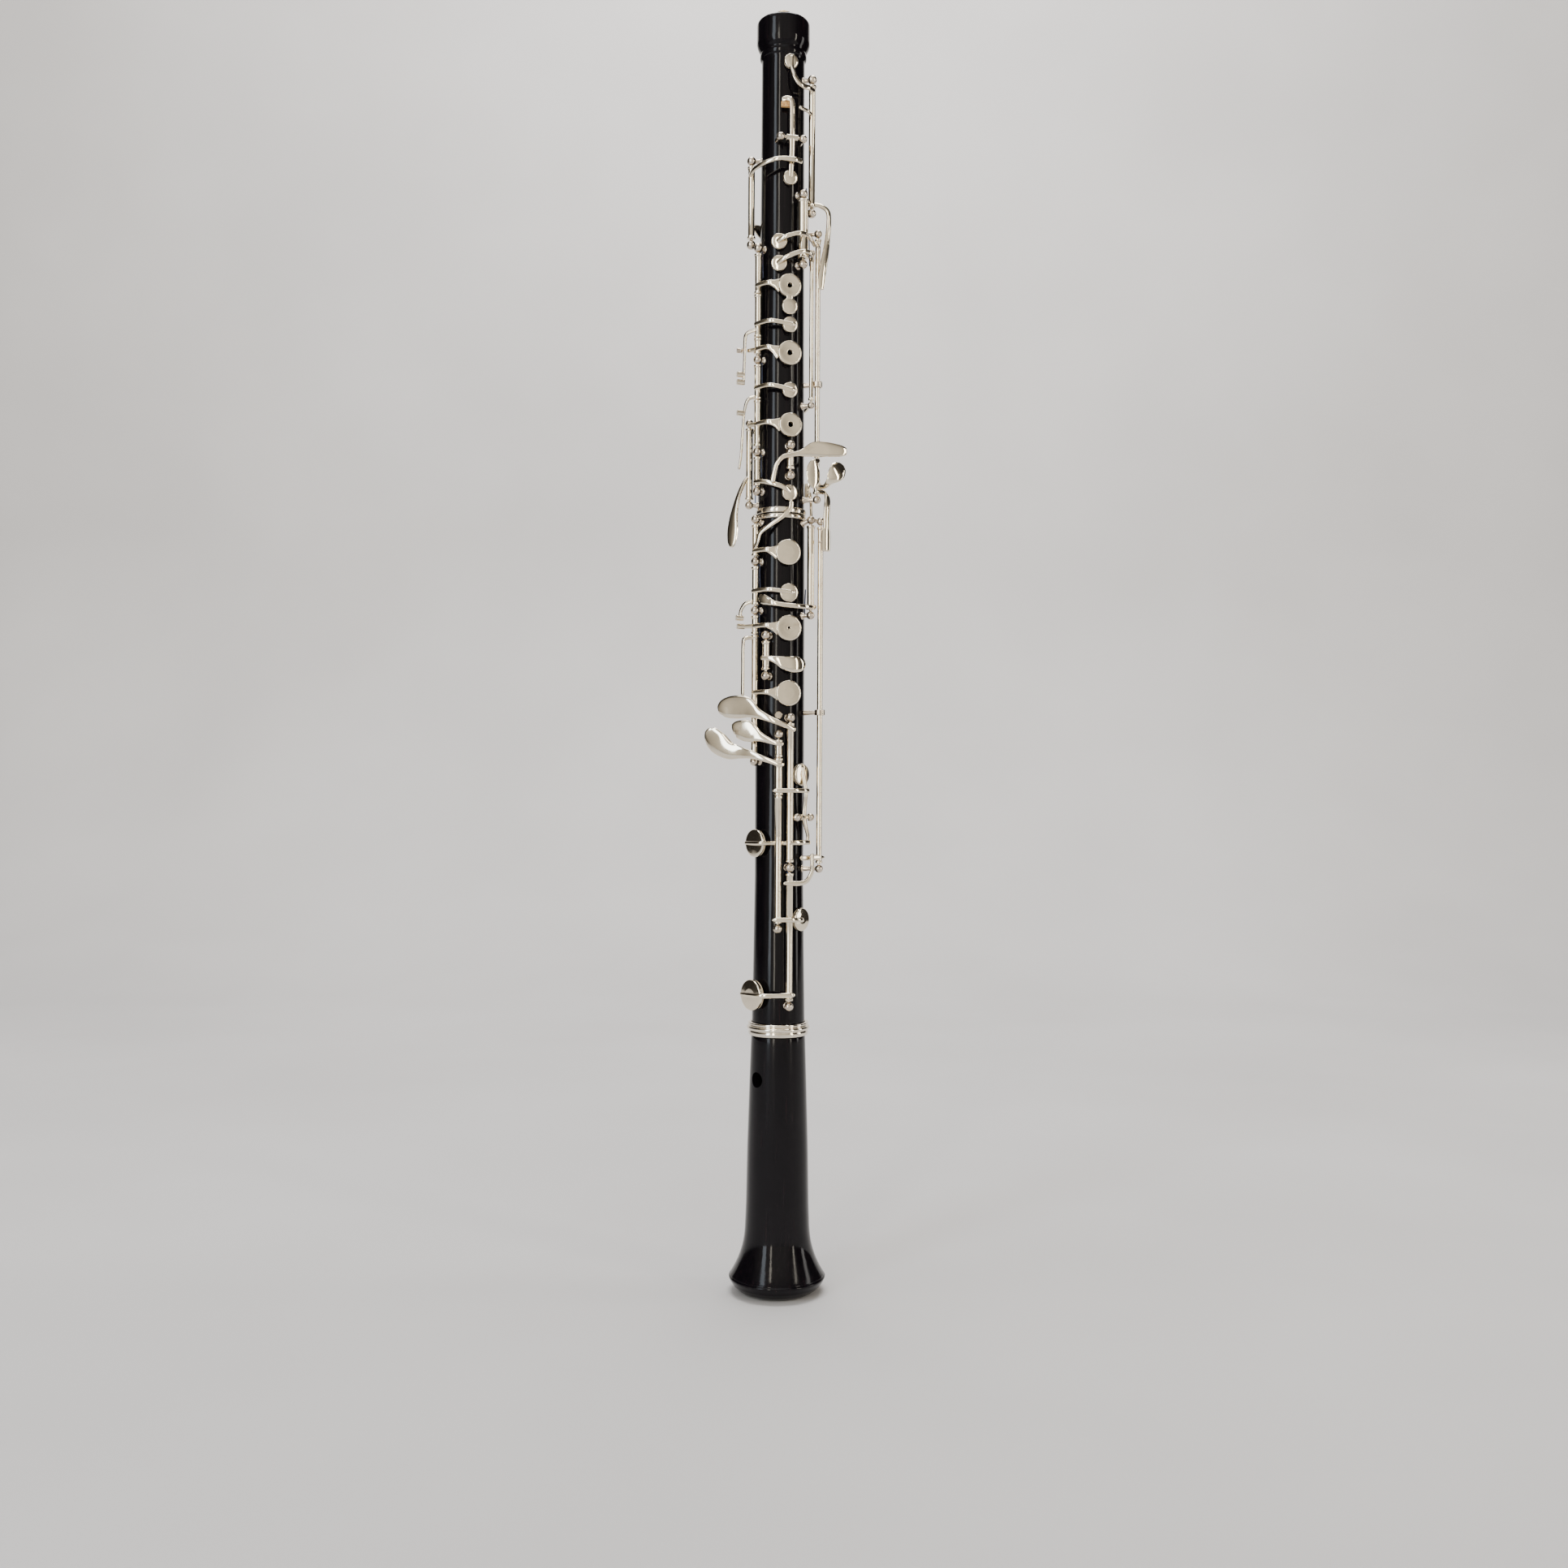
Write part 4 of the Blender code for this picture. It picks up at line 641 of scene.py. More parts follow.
def lower_trill_key():
    """A long thin rod: the cup's arm at its top and a lever round the back at its foot."""
    arm = strap([
        (-24, 13.1, 470.2, 1, 0.6), (-8, 15.2, 472, 1), (10, 16.8, 474.2, 1), (26, 17.5, 475.2, 0.9),
        (38, 17.2, 474.6, 0.9), (50, 15.3, 473.2, 0.9, 0.8)])
    lever = strap([
        (50, 14.9, 411.4, 0.9, 0.9), (75, 13.9, 410.4, 0.9), (110, 13.4, 408, 0.9), (145, 13.3, 405, 0.9),
        (171, 13.4, 402.6, 1)])
    return [tube(LOWER_TRILL, 409.2, 474.6, 0.95), arm, lever, cup(-22, 470.4, 3.7, CLOSED_LIFT)]


def left_trill_lever():
    """The long rod on the right: an oval touch at its foot and a finger on the upper trill's tail."""
    neck = strap([(60, 17.3, 381.5, 1.2, 0.9), (50, 18.8, 381.3, 1.1, 0.8), (39, 18.9, 379.9, 1.6)])
    oval = strap([
        (37, 18.8, 380.2, 1.6, 0.6, 8), (36.5, 18.7, 377.7, 2.9, 0.7, 8), (36, 18.7, 374, 3.4, 0.7, 8),
        (36.5, 18.8, 370.3, 2.7, 0.6, 8), (37, 18.8, 368.2, 1.2, 0.5, 8)])
    finger = strap([(60, 17.6, 480.4, 1.1, 0.8), (51, 17.8, 480.4, 1.1, 0.6), (44, 17.9, 480.4, 1, 0.6)])
    return [tube(LEFT_LEVERS, 372.3, 483.9, THIN_TUBE_RADIUS), neck, oval, finger]


def finger_plate(azimuth, height, radius, hinge, arm_height, hole=0.0):
    """An open finger plate with the arm that widens into its rim."""
    top = cup_top(height, OPEN_LIFT, PLATE_HEIGHT)
    reach = radius / top * DEGREES_PER_RADIAN
    arm = strap([
        (hinge[0], hinge[1] + 0.9, arm_height, 1.1, 0.9), (hinge[0] * 0.62, top + 0.2, arm_height, 1.1),
        (azimuth - reach * 1.35, top - 0.3, (arm_height + height) / 2, 1.8, 0.6),
        (azimuth - reach * 0.85, top - 0.65, height, 3.4, 0.5)])
    return [arm, cup(azimuth, height, radius, OPEN_LIFT, PLATE_HEIGHT, hole)]


def tail(hinge, height, end_azimuth, end_radius):
    """A short tail on a hinge tube's outer side."""
    return strap([(hinge[0], hinge[1] + 0.6, height, 1.1, 0.9), (end_azimuth, end_radius, height, 0.9, 0.6)])


def barrel(azimuth, radius, height):
    """An adjusting screw in its barrel, pointing outward from an arm, its end slotted for a driver."""
    return slotted_head(at(azimuth, radius, height), outward(azimuth), BARREL_RADIUS, BARREL_LENGTH)


def half_hole_key():
    lobe = cup(-0.3, 450.4, 3.7, OPEN_LIFT + 0.6, PLATE_HEIGHT - 0.6)
    bridge = strap([(0, 13.6, 457, 1.6, 0.5), (0, 13.6, 451, 1.6, 0.5)])
    plate = finger_plate(0, 459.9, 5.4, LEFT_STACK, 461.2, 1.1)
    return [tube(LEFT_STACK, 457.4, 475.7), *plate, lobe, bridge]


def c_vent_key():
    """A small vent cup, with a bar outside the stack that the middle finger's tail lifts."""
    over = cup_top(442.1, OPEN_LIFT)
    bar = strap([
        (-69, 14.7, 441, 1), (-80, 17.8, 439.4, 1), (-80.5, 18.6, 436, 1), (-81, 18.7, 429, 0.9, 0.6),
        (-84, 18.6, 420.8, 0.9, 0.6), (-85, 18.6, 416.6, 0.9, 0.6)])
    lug = strap([(-80.5, 18.7, 432.6, 1, 0.6), (-94, 18.9, 432.4, 1.1, 0.6)])
    return [tube(LEFT_STACK, 437.4, 457.0), level_arm(LEFT_STACK, 443.4, 1.0, 442.1, over),
            cup(1.0, 442.1, 3.6, OPEN_LIFT), bar, lug, barrel(-85, 18.4, 420.8), barrel(-85, 18.4, 417.3)]


def left_middle_key():
    pieces = [tube(LEFT_STACK, 429.8, 437.0)] + finger_plate(0.6, 429.2, 5.6, LEFT_STACK, 431.9, 1.2)
    pieces.append(tail(LEFT_STACK, 431.9, -83, 16.7))
    return pieces


def b_vent_key():
    """A small vent cup, with a thin bar down the left that the ring finger's tail lifts."""
    over = cup_top(412.3, OPEN_LIFT)
    bar = strap([
        (-71, 15, 410.2, 0.9), (-76, 17.8, 408.6, 0.9), (-83, 18.5, 403, 0.8, 0.6),
        (-90, 18.7, 392, 0.8, 0.6), (-94, 18.9, 384.5, 0.8, 0.6), (-97, 19.6, 378.6, 0.8, 0.6)])
    return [tube(LEFT_STACK, 409.0, 424.8), level_arm(LEFT_STACK, 414.2, 1.1, 412.3, over),
            cup(1.1, 412.3, 3.6, OPEN_LIFT), bar, barrel(-84, 18.4, 403.1)]


def left_ring_key():
    pieces = [tube(LEFT_STACK, 387.5, 408.6)] + finger_plate(2.5, 396.5, 5.5, LEFT_STACK, 397.7, 1.2)
    pieces.append(tail(LEFT_STACK, 397.7, -81, 16.4))
    return pieces


def g_sharp_pad_key():
    over = cup_top(365.8, CLOSED_LIFT)
    arm = strap([
        (-68.5, 14.9, 371.2, 1, 0.8), (-50, 14.8, 370.8, 1), (-28.5, 14.7, 369.4, 1.1),
        (-10, 14.2, 367.8, 1.1), (3.1, over + 0.1, 366.2, 1.2, 0.6)])
    return [tube(LEFT_STACK, 369.5, 382.5), arm, cup(3.1, 365.8, 3.7, CLOSED_LIFT)]


def g_sharp_lever():
    """The left little finger's spoon on the right, whose far end holds the G sharp cup shut."""
    arm = strap([
        (-28.5, 16.6, 370.2, 1.1), (-26, 16.4, 374, 1), (-22, 16, 378, 1), (-12, 15.8, 381.2, 1),
        (2.7, 15.4, 382.4, 1.1, 0.8), (14, 16, 383.2, 1.3, 0.8), (23, 17.2, 383.8, 2, 0.8),
        (34.6, 20, 385.2, 3.5, 0.8, 25), (44.2, 24, 385.5, 3.4, 0.8, 25), (53.3, 29, 385.2, 2.7, 0.7, 22),
        (56.5, 31, 385.2, 1.8, 0.6, 20)])
    return [tube(G_SHARP, 376.2, 384.6), arm]


def right_trill_spoon():
    """The right index finger's trill spoon, with a lever round the back to the lower trill."""
    spoon = strap([
        (-95, 14.9, 375, 1.1, 0.9), (-92, 17.5, 371.8, 1.1, 0.9, -75), (-90, 20.4, 365, 1.3, 0.8, -60),
        (-88, 22.4, 357, 2, 0.8, -50), (-86, 23.3, 349.5, 2.9, 0.8, -50), (-86.5, 23.6, 344, 2.4, 0.7, -50),
        (-87, 23.7, 341.9, 1.2, 0.6, -50)])
    lever = strap([
        (-95, 14.9, 394, 1, 0.9), (-118, 15.3, 396, 1), (-146, 15.4, 399, 1), (-170, 15.4, 401.6, 1),
        (171, 15.4, 403.6, 1)])
    return [tube(TRILL_SPOON, 364.0, 396.9), spoon, lever]


def left_low_b_lever():
    """The left little finger's paddle, with a flat bar down to the low B rod."""
    paddle = strap([
        (60.5, 17.5, 370.1, 1.2, 0.85), (56, 21, 369.6, 1.2, 0.9, 30), (50.5, 24, 371, 1.6, 0.8, 12),
        (51.5, 25.8, 373.2, 3.2, 0.8, 10), (54.5, 27.3, 375.8, 4.2, 0.7, 10),
        (58.5, 28.2, 378.2, 3.5, 0.6, 10), (60.3, 28.6, 379.5, 1.8, 0.5, 10)])
    bar = strap([
        (60, 17.2, 368.1, 1.1, 0.9), (55, 21.2, 366.6, 1.2, 0.8), (50.5, 23.2, 364, 1.4, 0.8, 20),
        (46.5, 23.9, 359.5, 1.6, 0.8, 12), (45, 24, 355, 1.6, 0.8, 12), (44.5, 24, 349.5, 1.6, 0.8, 12),
        (44.2, 24, 347.8, 2.2, 0.8, 12), (44, 24, 339.6, 2.2, 0.8, 12)])
    return [tube(LEFT_LEVERS, 366.5, 371.9), paddle, bar]


# ---- lower joint keys

def right_index_key():
    """The right index finger's plate, with the bridge that reaches up to the G sharp cup."""
    bridge = strap([
        (-66, 15.3, 341, 1.1), (-57.5, 15.8, 343.2, 1.1), (-52, 15.4, 347.4, 1.1), (-35, 14.8, 350.4, 1),
        (-11, 14.8, 354.6, 1), (1.5, 15, 358.2, 1.1), (2.9, 15.2, 361, 1.1)])
    return [tube(RIGHT_STACK, 337.2, 351.4)] + finger_plate(-1.4, 338.4, 5.9, RIGHT_STACK, 339.6) + [bridge]


def f_sharp_vent_key():
    over = cup_top(320.0, OPEN_LIFT)
    link = strap([
        (-70, 15.8, 316.4, 1), (-77, 18.3, 315.4, 1), (-83, 19.6, 312.4, 1.1), (-84, 19.8, 308.6, 1.2)])
    return [tube(RIGHT_STACK, 314.9, 332.3), level_arm(RIGHT_STACK, 321.2, 0.5, 320.2, over),
            cup(0.5, 320.0, 4.3, OPEN_LIFT), link, barrel(-84, 18.4, 309.1)]


def right_middle_key():
    pieces = [tube(RIGHT_STACK, 301.5, 309.9)] + finger_plate(0.6, 304.0, 5.9, RIGHT_STACK, 305.2, 0.6)
    pieces += [tail(RIGHT_STACK, 305.2, -84, 18.6), barrel(-84, 17.8, 305.2)]
    return pieces


def right_ring_key():
    """The right ring finger's plate, with the cranked bar outside its long tube."""
    crank = strap([
        (-69, 15.4, 299.8, 1, 0.8), (-73, 18.6, 299.6, 1, 0.8), (-75, 19.6, 297, 1), (-75.5, 19.6, 285, 1),
        (-76, 19.6, 274, 1)])
    return [tube(RIGHT_STACK, 246.1, 301.1)] + finger_plate(0.4, 274.4, 5.9, RIGHT_STACK, 274.9) + [crank]


def side_key():
    """The tear-shaped touch between the fingers, which lifts a side cup over the joint on the right."""
    arm = strap([
        (52, 17, 314.4, 1, 0.8), (30, 17.9, 313.8, 1), (6, 18.2, 313.6, 1), (-21.7, 17.2, 314.6, 1.1),
        (-34, 16.6, 315.8, 1.8), (-43.7, 16.2, 316.9, 2.3), (-50.5, 16, 317.9, 1.4, 0.6)])
    side_arm = strap([
        (48.5, 15.4, 350.4, 0.9, 0.8), (58, 14.4, 351.2, 0.9), (66, 14.1, 354.4, 0.9), (72, 14, 359, 0.9),
        (76, 13.8, 364.4, 0.9), (78, 13.4, 368, 0.9, 0.6)])
    return [tube(SIDE_KEY, 313.0, 351.6, 1.65), arm, side_arm, cup(78, 369.2, 3.6, CLOSED_LIFT)]


def f_key():
    touch = strap([
        (-46, 15.9, 290.3, 1), (-32, 16, 290, 1.2), (-20, 16.4, 289.1, 1.9), (-8, 16.8, 287.9, 3),
        (6, 16.9, 287.3, 3.6), (18, 16.8, 287.5, 3.2), (26.5, 16.5, 288.3, 1.8, 0.6)])
    return [tube(F_KEY, 284.9, 298.0), touch]


def low_b_rod():
    """The long rod that carries the left hand's low B down to the foot of the joint."""
    lug = strap([(57, 19.4, 344, 3.8), (58, 22, 344, 3.8, 0.6)])
    arm = strap([
        (64, 20.8, 199.6, 0.5, 0.5), (57, 19.4, 199.6, 1.3, 0.9), (40, 17.7, 199.6, 1.2),
        (20, 17.6, 199.6, 1.1)])
    return [tube(LOW_B_ROD, 196.9, 351.1, 1.3), lug, arm]


def low_c_key():
    """The right little finger's upper touch, which shuts the low C cup on the left."""
    touch = strap([
        (9, 16.2, 257.8, 1.1), (-8, 16.8, 259.8, 1.2, 0.8, -8), (-28, 16.9, 262.2, 1.4, 0.8, -20),
        (-49.6, 17.2, 264.9, 2.3, 0.8, -30), (-68.6, 19, 267.8, 4.8, 0.8, -38),
        (-84, 23, 268.2, 5.2, 0.8, -42), (-91, 26.6, 267.8, 4.1, 0.7, -42),
        (-94, 28.4, 267.2, 2.2, 0.6, -42)])
    arm = strap([
        (3.6, 13.9, 206.3, 1, 0.8), (-8, 12.7, 206.3, 1, 0.6), (-18, 12.45, 206.3, 1, 0.55),
        (-31, 13.1, 206.3, 1, 0.6), (-46, 16.2, 206.2, 1), (-65, 15.65, 206.1, 1),
        (-84, 16.4, 206.1, 0.8, 0.6)])
    back = strap([(3.6, 15.9, 206.6, 1.1, 0.8), (24, 16.2, 206.6, 1.1), (43, 16.1, 206.6, 1.1)])
    return [tube(FOOT_OUTER, 197.7, 260.7), touch, arm, back, cup(-65, 206.1, 6.4, LOW_C_LIFT)]


def c_sharp_key():
    """The right little finger's middle touch, on the long tube that lifts the lower cup on the right."""
    touch = strap([
        (-11, 16.3, 251.2, 0.9, 0.6), (-17, 16.4, 251.4, 1.1, 0.8), (-27, 16.3, 252.2, 1.2, 0.8),
        (-46, 16.9, 254.4, 2.2, 0.8, -28), (-58, 17.9, 256, 4.1, 0.8, -34),
        (-68, 19.4, 257.3, 4.8, 0.8, -38), (-78, 22, 258, 3.8, 0.7, -40), (-81, 23, 257.6, 2.3, 0.6, -40)])
    arm = strap([
        (-24, 16.8, 171.8, 0.6, 0.5), (-17, 16.9, 171.8, 1.1), (3.6, 17.6, 171.7, 1.1),
        (22, 16.6, 171.5, 1.1), (35.5, 14.4, 171.3, 1, 0.6)])
    sleeve_tube = tube(FOOT_INNER, 227.0, 246.0, SLEEVE_RADIUS)
    return [tube(FOOT_INNER, 170.1, 227.7), sleeve_tube, tube(FOOT_INNER, 245.2, 253.1), touch, arm,
            cup(35.5, 171.3, 5.3, CLOSED_LIFT)]


def e_flat_key():
    """The outer touch, on a short tube round the sleeve, with the arm that holds the rocker shut."""
    touch = strap([
        (-10, 16.3, 241.9, 0.9), (-17, 16.5, 242.2, 1.1, 0.8), (-41, 16.8, 244.6, 1.3, 0.8, -25),
        (-60, 18.2, 246.4, 1.9, 0.8, -32), (-75, 20.6, 247.3, 2.7, 0.8, -38),
        (-86, 24.6, 248.4, 4.1, 0.8, -42), (-93, 29, 252, 5.2, 0.8, -44), (-96.5, 32, 255.8, 4.1, 0.7, -44),
        (-97.5, 33.4, 257.6, 2, 0.6, -44)])
    hold = strap([
        (-24, 16.9, 230.2, 0.6, 0.5), (-17, 17, 230.2, 1.1), (4, 17.6, 230.2, 1), (22, 17.6, 230.2, 1),
        (34, 17.4, 230.2, 1, 0.6)])
    return [tube(FOOT_INNER, 228.1, 244.8, SLEEVE_RADIUS + RUNNING_GAP + 0.4, SLEEVE_RADIUS + 0.2),
            touch, hold]


def e_flat_rocker_key():
    azimuth, height = E_FLAT_ROCKER[0], E_FLAT_ROCKER[2]
    lever = strap([
        (35, 13.9, 240.5, 0.8, 0.5), (35, 14.2, 237.5, 1.1, 0.6), (36, 15.5, 230.2, 1.1),
        (37, 14.8, 223.5, 1.1), (azimuth, 14.1, height, 1.3, 0.9), (44, 14.2, 213.5, 1.1),
        (52, 14.3, 209.4, 1.1), (50, 14.1, 206.6, 1, 0.6)])
    half = sideways(azimuth) * (2.7 * MM)
    centre = at(*E_FLAT_ROCKER)
    cross = rod(centre - half, centre + half, 1.4)
    return [cross, lever, cup(35, 237.5, 5.1, CLOSED_LIFT)]


def low_b_pad_key():
    """The lowest tube: the big cup on the left and the hook that the low B rod lifts."""
    arm = strap([
        (11, 16.2, 137.6, 0.7, 0.5), (3.6, 16.3, 137.6, 1.2), (-20, 17.1, 137.5, 1.1),
        (-43, 18.4, 137.3, 1.1), (-64.5, 17.3, 137, 1.1), (-85, 18.2, 136.9, 0.8, 0.6)])
    hook = strap([
        (-6, 16, 188.2, 0.7, 0.6), (3.6, 16.3, 188.2, 1.2, 0.8), (18, 17.2, 188.2, 1.1, 0.8),
        (29, 18.2, 189.3, 1.1, 0.8), (35.5, 19.2, 193, 1.1, 0.8), (35.5, 19.5, 197, 1.1),
        (35.5, 19.5, 201, 1.1)])
    return [tube(FOOT_OUTER, 134.9, 192.7), arm, hook, cup(-64.5, 137.0, 7.05, LOW_B_LIFT, 2.9)]


# ---- posts, guides and small parts

def side_rod_posts():
    """The side key's posts and the low B rod's, whose top balls share one foot."""
    key_top, rod_top = at(*SIDE_KEY, SIDE_POST_TOP), at(*LOW_B_ROD, SIDE_POST_TOP - 0.5)
    key_foot, rod_foot = at(*SIDE_KEY, 310.5), at(*LOW_B_ROD, 194.4)
    pieces = [rod(key_foot, key_top, PIN_RADIUS), rod(rod_foot, rod_top, PIN_RADIUS),
              rod(key_top, rod_top, 0.9)]
    pieces += [ball(centre, SMALL_BALL_RADIUS) for centre in (key_top, key_foot, rod_top, rod_foot)]
    pieces += [stem(SIDE_KEY, SIDE_POST_TOP, 352.7), stem(SIDE_KEY, 310.5), stem(LOW_B_ROD, 194.4)]
    finish("side_rod_posts", pieces)


def make_posts():
    posts("second_octave_posts", SIDE_OCTAVE, [557.1, 495.5], PIN_RADIUS)
    rocker_posts("first_octave_posts", OCTAVE_ROCKER)
    posts("thumb_octave_posts", THUMB_OCTAVE, [520.6, 481.9], PIN_RADIUS)
    posts("upper_trill_posts", UPPER_TRILL, [502.7, 470.5], PIN_RADIUS)
    posts("lower_trill_posts", LOWER_TRILL, [476.9, 407.0], 0.3, ball_radius=1.6)
    posts("left_lever_posts", LEFT_LEVERS, [486.4, 364.0], THIN_PIN_RADIUS, ball_radius=SMALL_BALL_RADIUS)
    posts("left_stack_posts", LEFT_STACK, [478.4, 427.3, 385.0, 367.0], PIN_RADIUS)
    posts("trill_spoon_posts", TRILL_SPOON, [399.3, 361.6], PIN_RADIUS, ball_radius=SMALL_BALL_RADIUS)
    posts("g_sharp_posts", G_SHARP, [387.3, 373.5], PIN_RADIUS)
    posts("right_stack_posts", RIGHT_STACK, [354.1, 334.8, 312.4, 243.4], PIN_RADIUS,
          feet=[352.7, 334.8, 312.4, 243.4])
    side_rod_posts()
    posts("f_key_posts", F_KEY, [300.7, 282.2], PIN_RADIUS)
    posts("foot_outer_posts", FOOT_OUTER, [263.3, 195.2, 132.3], PIN_RADIUS)
    posts("foot_inner_posts", FOOT_INNER, [255.7, 167.5], THIN_PIN_RADIUS)
    rocker_posts("e_flat_rocker_posts", E_FLAT_ROCKER)


def rod_guide(name, hinge, height, tube_radius):
    """A collar on a stem that steadies a long rod half way along."""
    azimuth, radius = hinge
    low = at(azimuth, radius, height - 1.3)
    inner = tube_radius + RUNNING_GAP
    outer = tube_radius + 1.1
    collar = turned(rounded([(inner, 0), (outer, 0), (outer, 2.6), (inner, 2.6)], 0.3, closed=True),
                    Vector((0, 0, 1)), low, 32, True)
    leg = rod(at(azimuth, side_radius(height) + GAP, height),
              at(azimuth, radius - tube_radius - 0.7, height), 1.3, 0.9)
    finish(name, [collar, leg])


def thumb_rest():
    """A plate on the back of the lower joint with a curved hook for the right thumb."""
    azimuth = 180.0
    out = outward(azimuth)
    across = sideways(azimuth)
    foot = side_radius(302) + GAP
    plate = box(at(azimuth, foot + 0.8, 302), across, out, (8.0, 1.6, 30.0))
    hook = strap([(azimuth, foot + 1.0, 300, 6.5, 0.9), (azimuth, foot + 4.5, 298.8, 7.5, 1.0),
                  (azimuth, foot + 9.5, 299.5, 7.5, 1.0), (azimuth, foot + 13.0, 302.5, 6.0, 0.9)])
    finish("thumb_rest", [plate, hook])


def slotted_head(start, axis, radius, length):
    """A round head with a driver's slot across its end."""
    edge = min(0.2, radius * 0.2)
    head = turned([(0, 0), (radius, 0), (radius, length - edge), (radius - edge, length), (0, length)],
                  axis, start, 32)
    side = axis.cross(Vector((0, 0, 1))).normalized()
    return carved(head, [box(start + axis * (length * MM), side, axis, (radius * 3, 0.7, 0.44))])


def slotted_screw(name, azimuth, base, height, head_radius, length):
    """A screw standing outward."""
    finish(name, [slotted_head(at(azimuth, base, height), outward(azimuth), head_radius, length)])


def small_parts():
    rod_guide("left_lever_guide", LEFT_LEVERS, 417.0, THIN_TUBE_RADIUS)
    rod_guide("low_b_rod_guide", LOW_B_ROD, 266.0, 1.3)
    thumb_rest()
    for name, height in (("thumb_rest_screw_upper", 314.0), ("thumb_rest_screw_lower", 290.0)):
        slotted_screw(name, 180.0, side_radius(302) + GAP, height, 1.0, 2.6)
    slotted_screw("vent_adjusting_screw", -91.0, 19.8, 432.4, 1.15, 1.6)
    slotted_screw("foot_stop_screw", -17.4, side_radius(264) + GAP, 264.4, 1.7, 2.6)


# ---- the wooden joints

def cut(node, mesh, holes):
    """Cuts holes into a joint and adds it as a piece."""
    add_piece(node + "_fine", [carved(mesh, holes)], "body", ROOT, [node])


def tone_hole(azimuth, height, radius, seat):
    """A tone hole with a shallow flat seat round it for the pad."""
    start = at(azimuth, 2.0, height)
    floor = side_radius(height) - 0.35
    profile = [(0, 0), (radius, 0), (radius, floor - 2.0), (seat, floor - 2.0), (seat, floor + 3.0),
               (0, floor + 3.0)]
    return turned(profile, outward(azimuth), start, 40)


def tenon_profile(root, foot, groove, lip):
    return [(lip, root), (lip, root - 1.2), (groove, root - 1.2), (groove, foot + 1.6), (lip, foot + 1.6),
            (lip, foot)]


def upper_joint():
    foot = JOINT_PLANE + GAP / 2 - TENON
    outside = rounded(CROWN + UPPER_SIDE + [(10.7, JOINT_PLANE + GAP / 2)], 0.9, 6)
    outside += tenon_profile(JOINT_PLANE + GAP / 2, foot, 6.6, 7.9)
    inside = UPPER_BORE + [(REED_SOCKET_RADIUS + 0.9, UPPER_BORE[-1][1] + 1.0),
                           (REED_SOCKET_RADIUS + 0.9, CROWN[0][1])]
    body = turned(outside + inside, closed=True)
    cut("upper_joint", body, [tone_hole(*row) for row in UPPER_HOLES])


def lower_joint():
    top = JOINT_PLANE - GAP / 2
    foot = BELL_TOP + GAP / 2 - TENON
    outside = rounded([(11.0, top)] + LOWER_SIDE + [(12.2, BELL_TOP + GAP / 2)], 0.8)
    outside += tenon_profile(BELL_TOP + GAP / 2, foot, 9.0, 10.3)
    inside = [(LOWER_BORE[0][0], foot), (LOWER_BORE[1][0], top - SOCKET_DEPTH), (8.2, top - SOCKET_DEPTH),
              (8.2, top)]
    body = turned(outside + inside, closed=True)
    cut("lower_joint", body, [tone_hole(*row) for row in LOWER_HOLES])


def bell():
    """The bell, with a fine groove above its rim and a vent in its side."""
    top = BELL_TOP - GAP / 2
    outside = rounded([(12.2, top), (12.2, 117.6)] + BELL_SIDE[:-5], 4.0, 6)
    rim = [(21.3, 8.2), (21.75, 7.6), (21.6, 7.45), (22.2, 6.95), (22.25, 6.5), (22.1, 6.0), (20.8, 3.6),
           (18.6, 1.3), (16.2, 0.0)]
    socket = [(BELL_BORE[-1][0], top - SOCKET_DEPTH), (10.6, top - SOCKET_DEPTH), (10.6, top)]
    body = turned(outside[:-1] + rounded(rim, 0.5) + rounded(BELL_BORE[:-1], 5.0) + socket, closed=True)
    vent = rod(at(-63.7, 5.0, 98.0), at(-63.7, 18.0, 98.0), 3.5)
    cut("bell", body, [vent])


def ring(name, profile, look):
    add_piece(name + "_fine", [turned(rounded(profile, 0.35, closed=True), closed=True)], look, ROOT, [name])


def trim():
    inner = REED_SOCKET_RADIUS
    low = LENGTH - REED_SOCKET_DEPTH + 0.6
    ring("reed_socket_liner", [(inner + 0.6, LENGTH), (inner + 0.6, low), (inner, low), (inner, LENGTH)],
         "liner")
    for name, groove, lip, plane in (("upper_tenon_cork", 6.9, 7.9, JOINT_PLANE),
                                     ("lower_tenon_cork", 9.3, 10.3, BELL_TOP)):
        ring(name, [(lip, plane - 1.5), (lip, plane - TENON + 2.2), (groove, plane - TENON + 2.2),
                    (groove, plane - 1.5)], "cork")
    for name, low, high in (("upper_joint_ring", JOINT_PLANE + 0.25, 359.6),
                            ("socket_ring", 354.6, JOINT_PLANE - 0.25)):
        middle = (low + high) / 2
        ring(name, [(11.6, high), (11.85, middle), (11.6, low), (11.0, low), (11.0, high)], "ring")
    ring("bell_ring", [(13.4, 123.8), (13.9, 123.5), (13.9, 122.7), (13.4, 122.3), (14.3, 121.9),
                       (14.5, 121.2), (14.3, 120.5), (13.4, 120.1), (13.8, 119.6), (13.8, 118.2),
                       (13.5, 117.8), (12.4, 117.8), (12.4, 123.8)], "ring")


# ---- springs and bumper

SPRINGS = [("left_stack_spring_upper", LEFT_STACK, 478.4, -13),
           ("left_stack_spring", LEFT_STACK, 427.3, -12),
           ("left_stack_spring_lower", LEFT_STACK, 385.0, -11),
           ("right_stack_spring", RIGHT_STACK, 334.8, -12),
           ("right_stack_spring_lower", RIGHT_STACK, 312.4, -12), ("foot_spring", FOOT_OUTER, 195.2, -14),
           ("side_octave_spring", SIDE_OCTAVE, 495.5, 12), ("left_lever_spring", LEFT_LEVERS, 486.4, -14),
           ("side_key_spring", SIDE_KEY, 310.5, 12), ("trill_spoon_spring", TRILL_SPOON, 361.6, 12)]


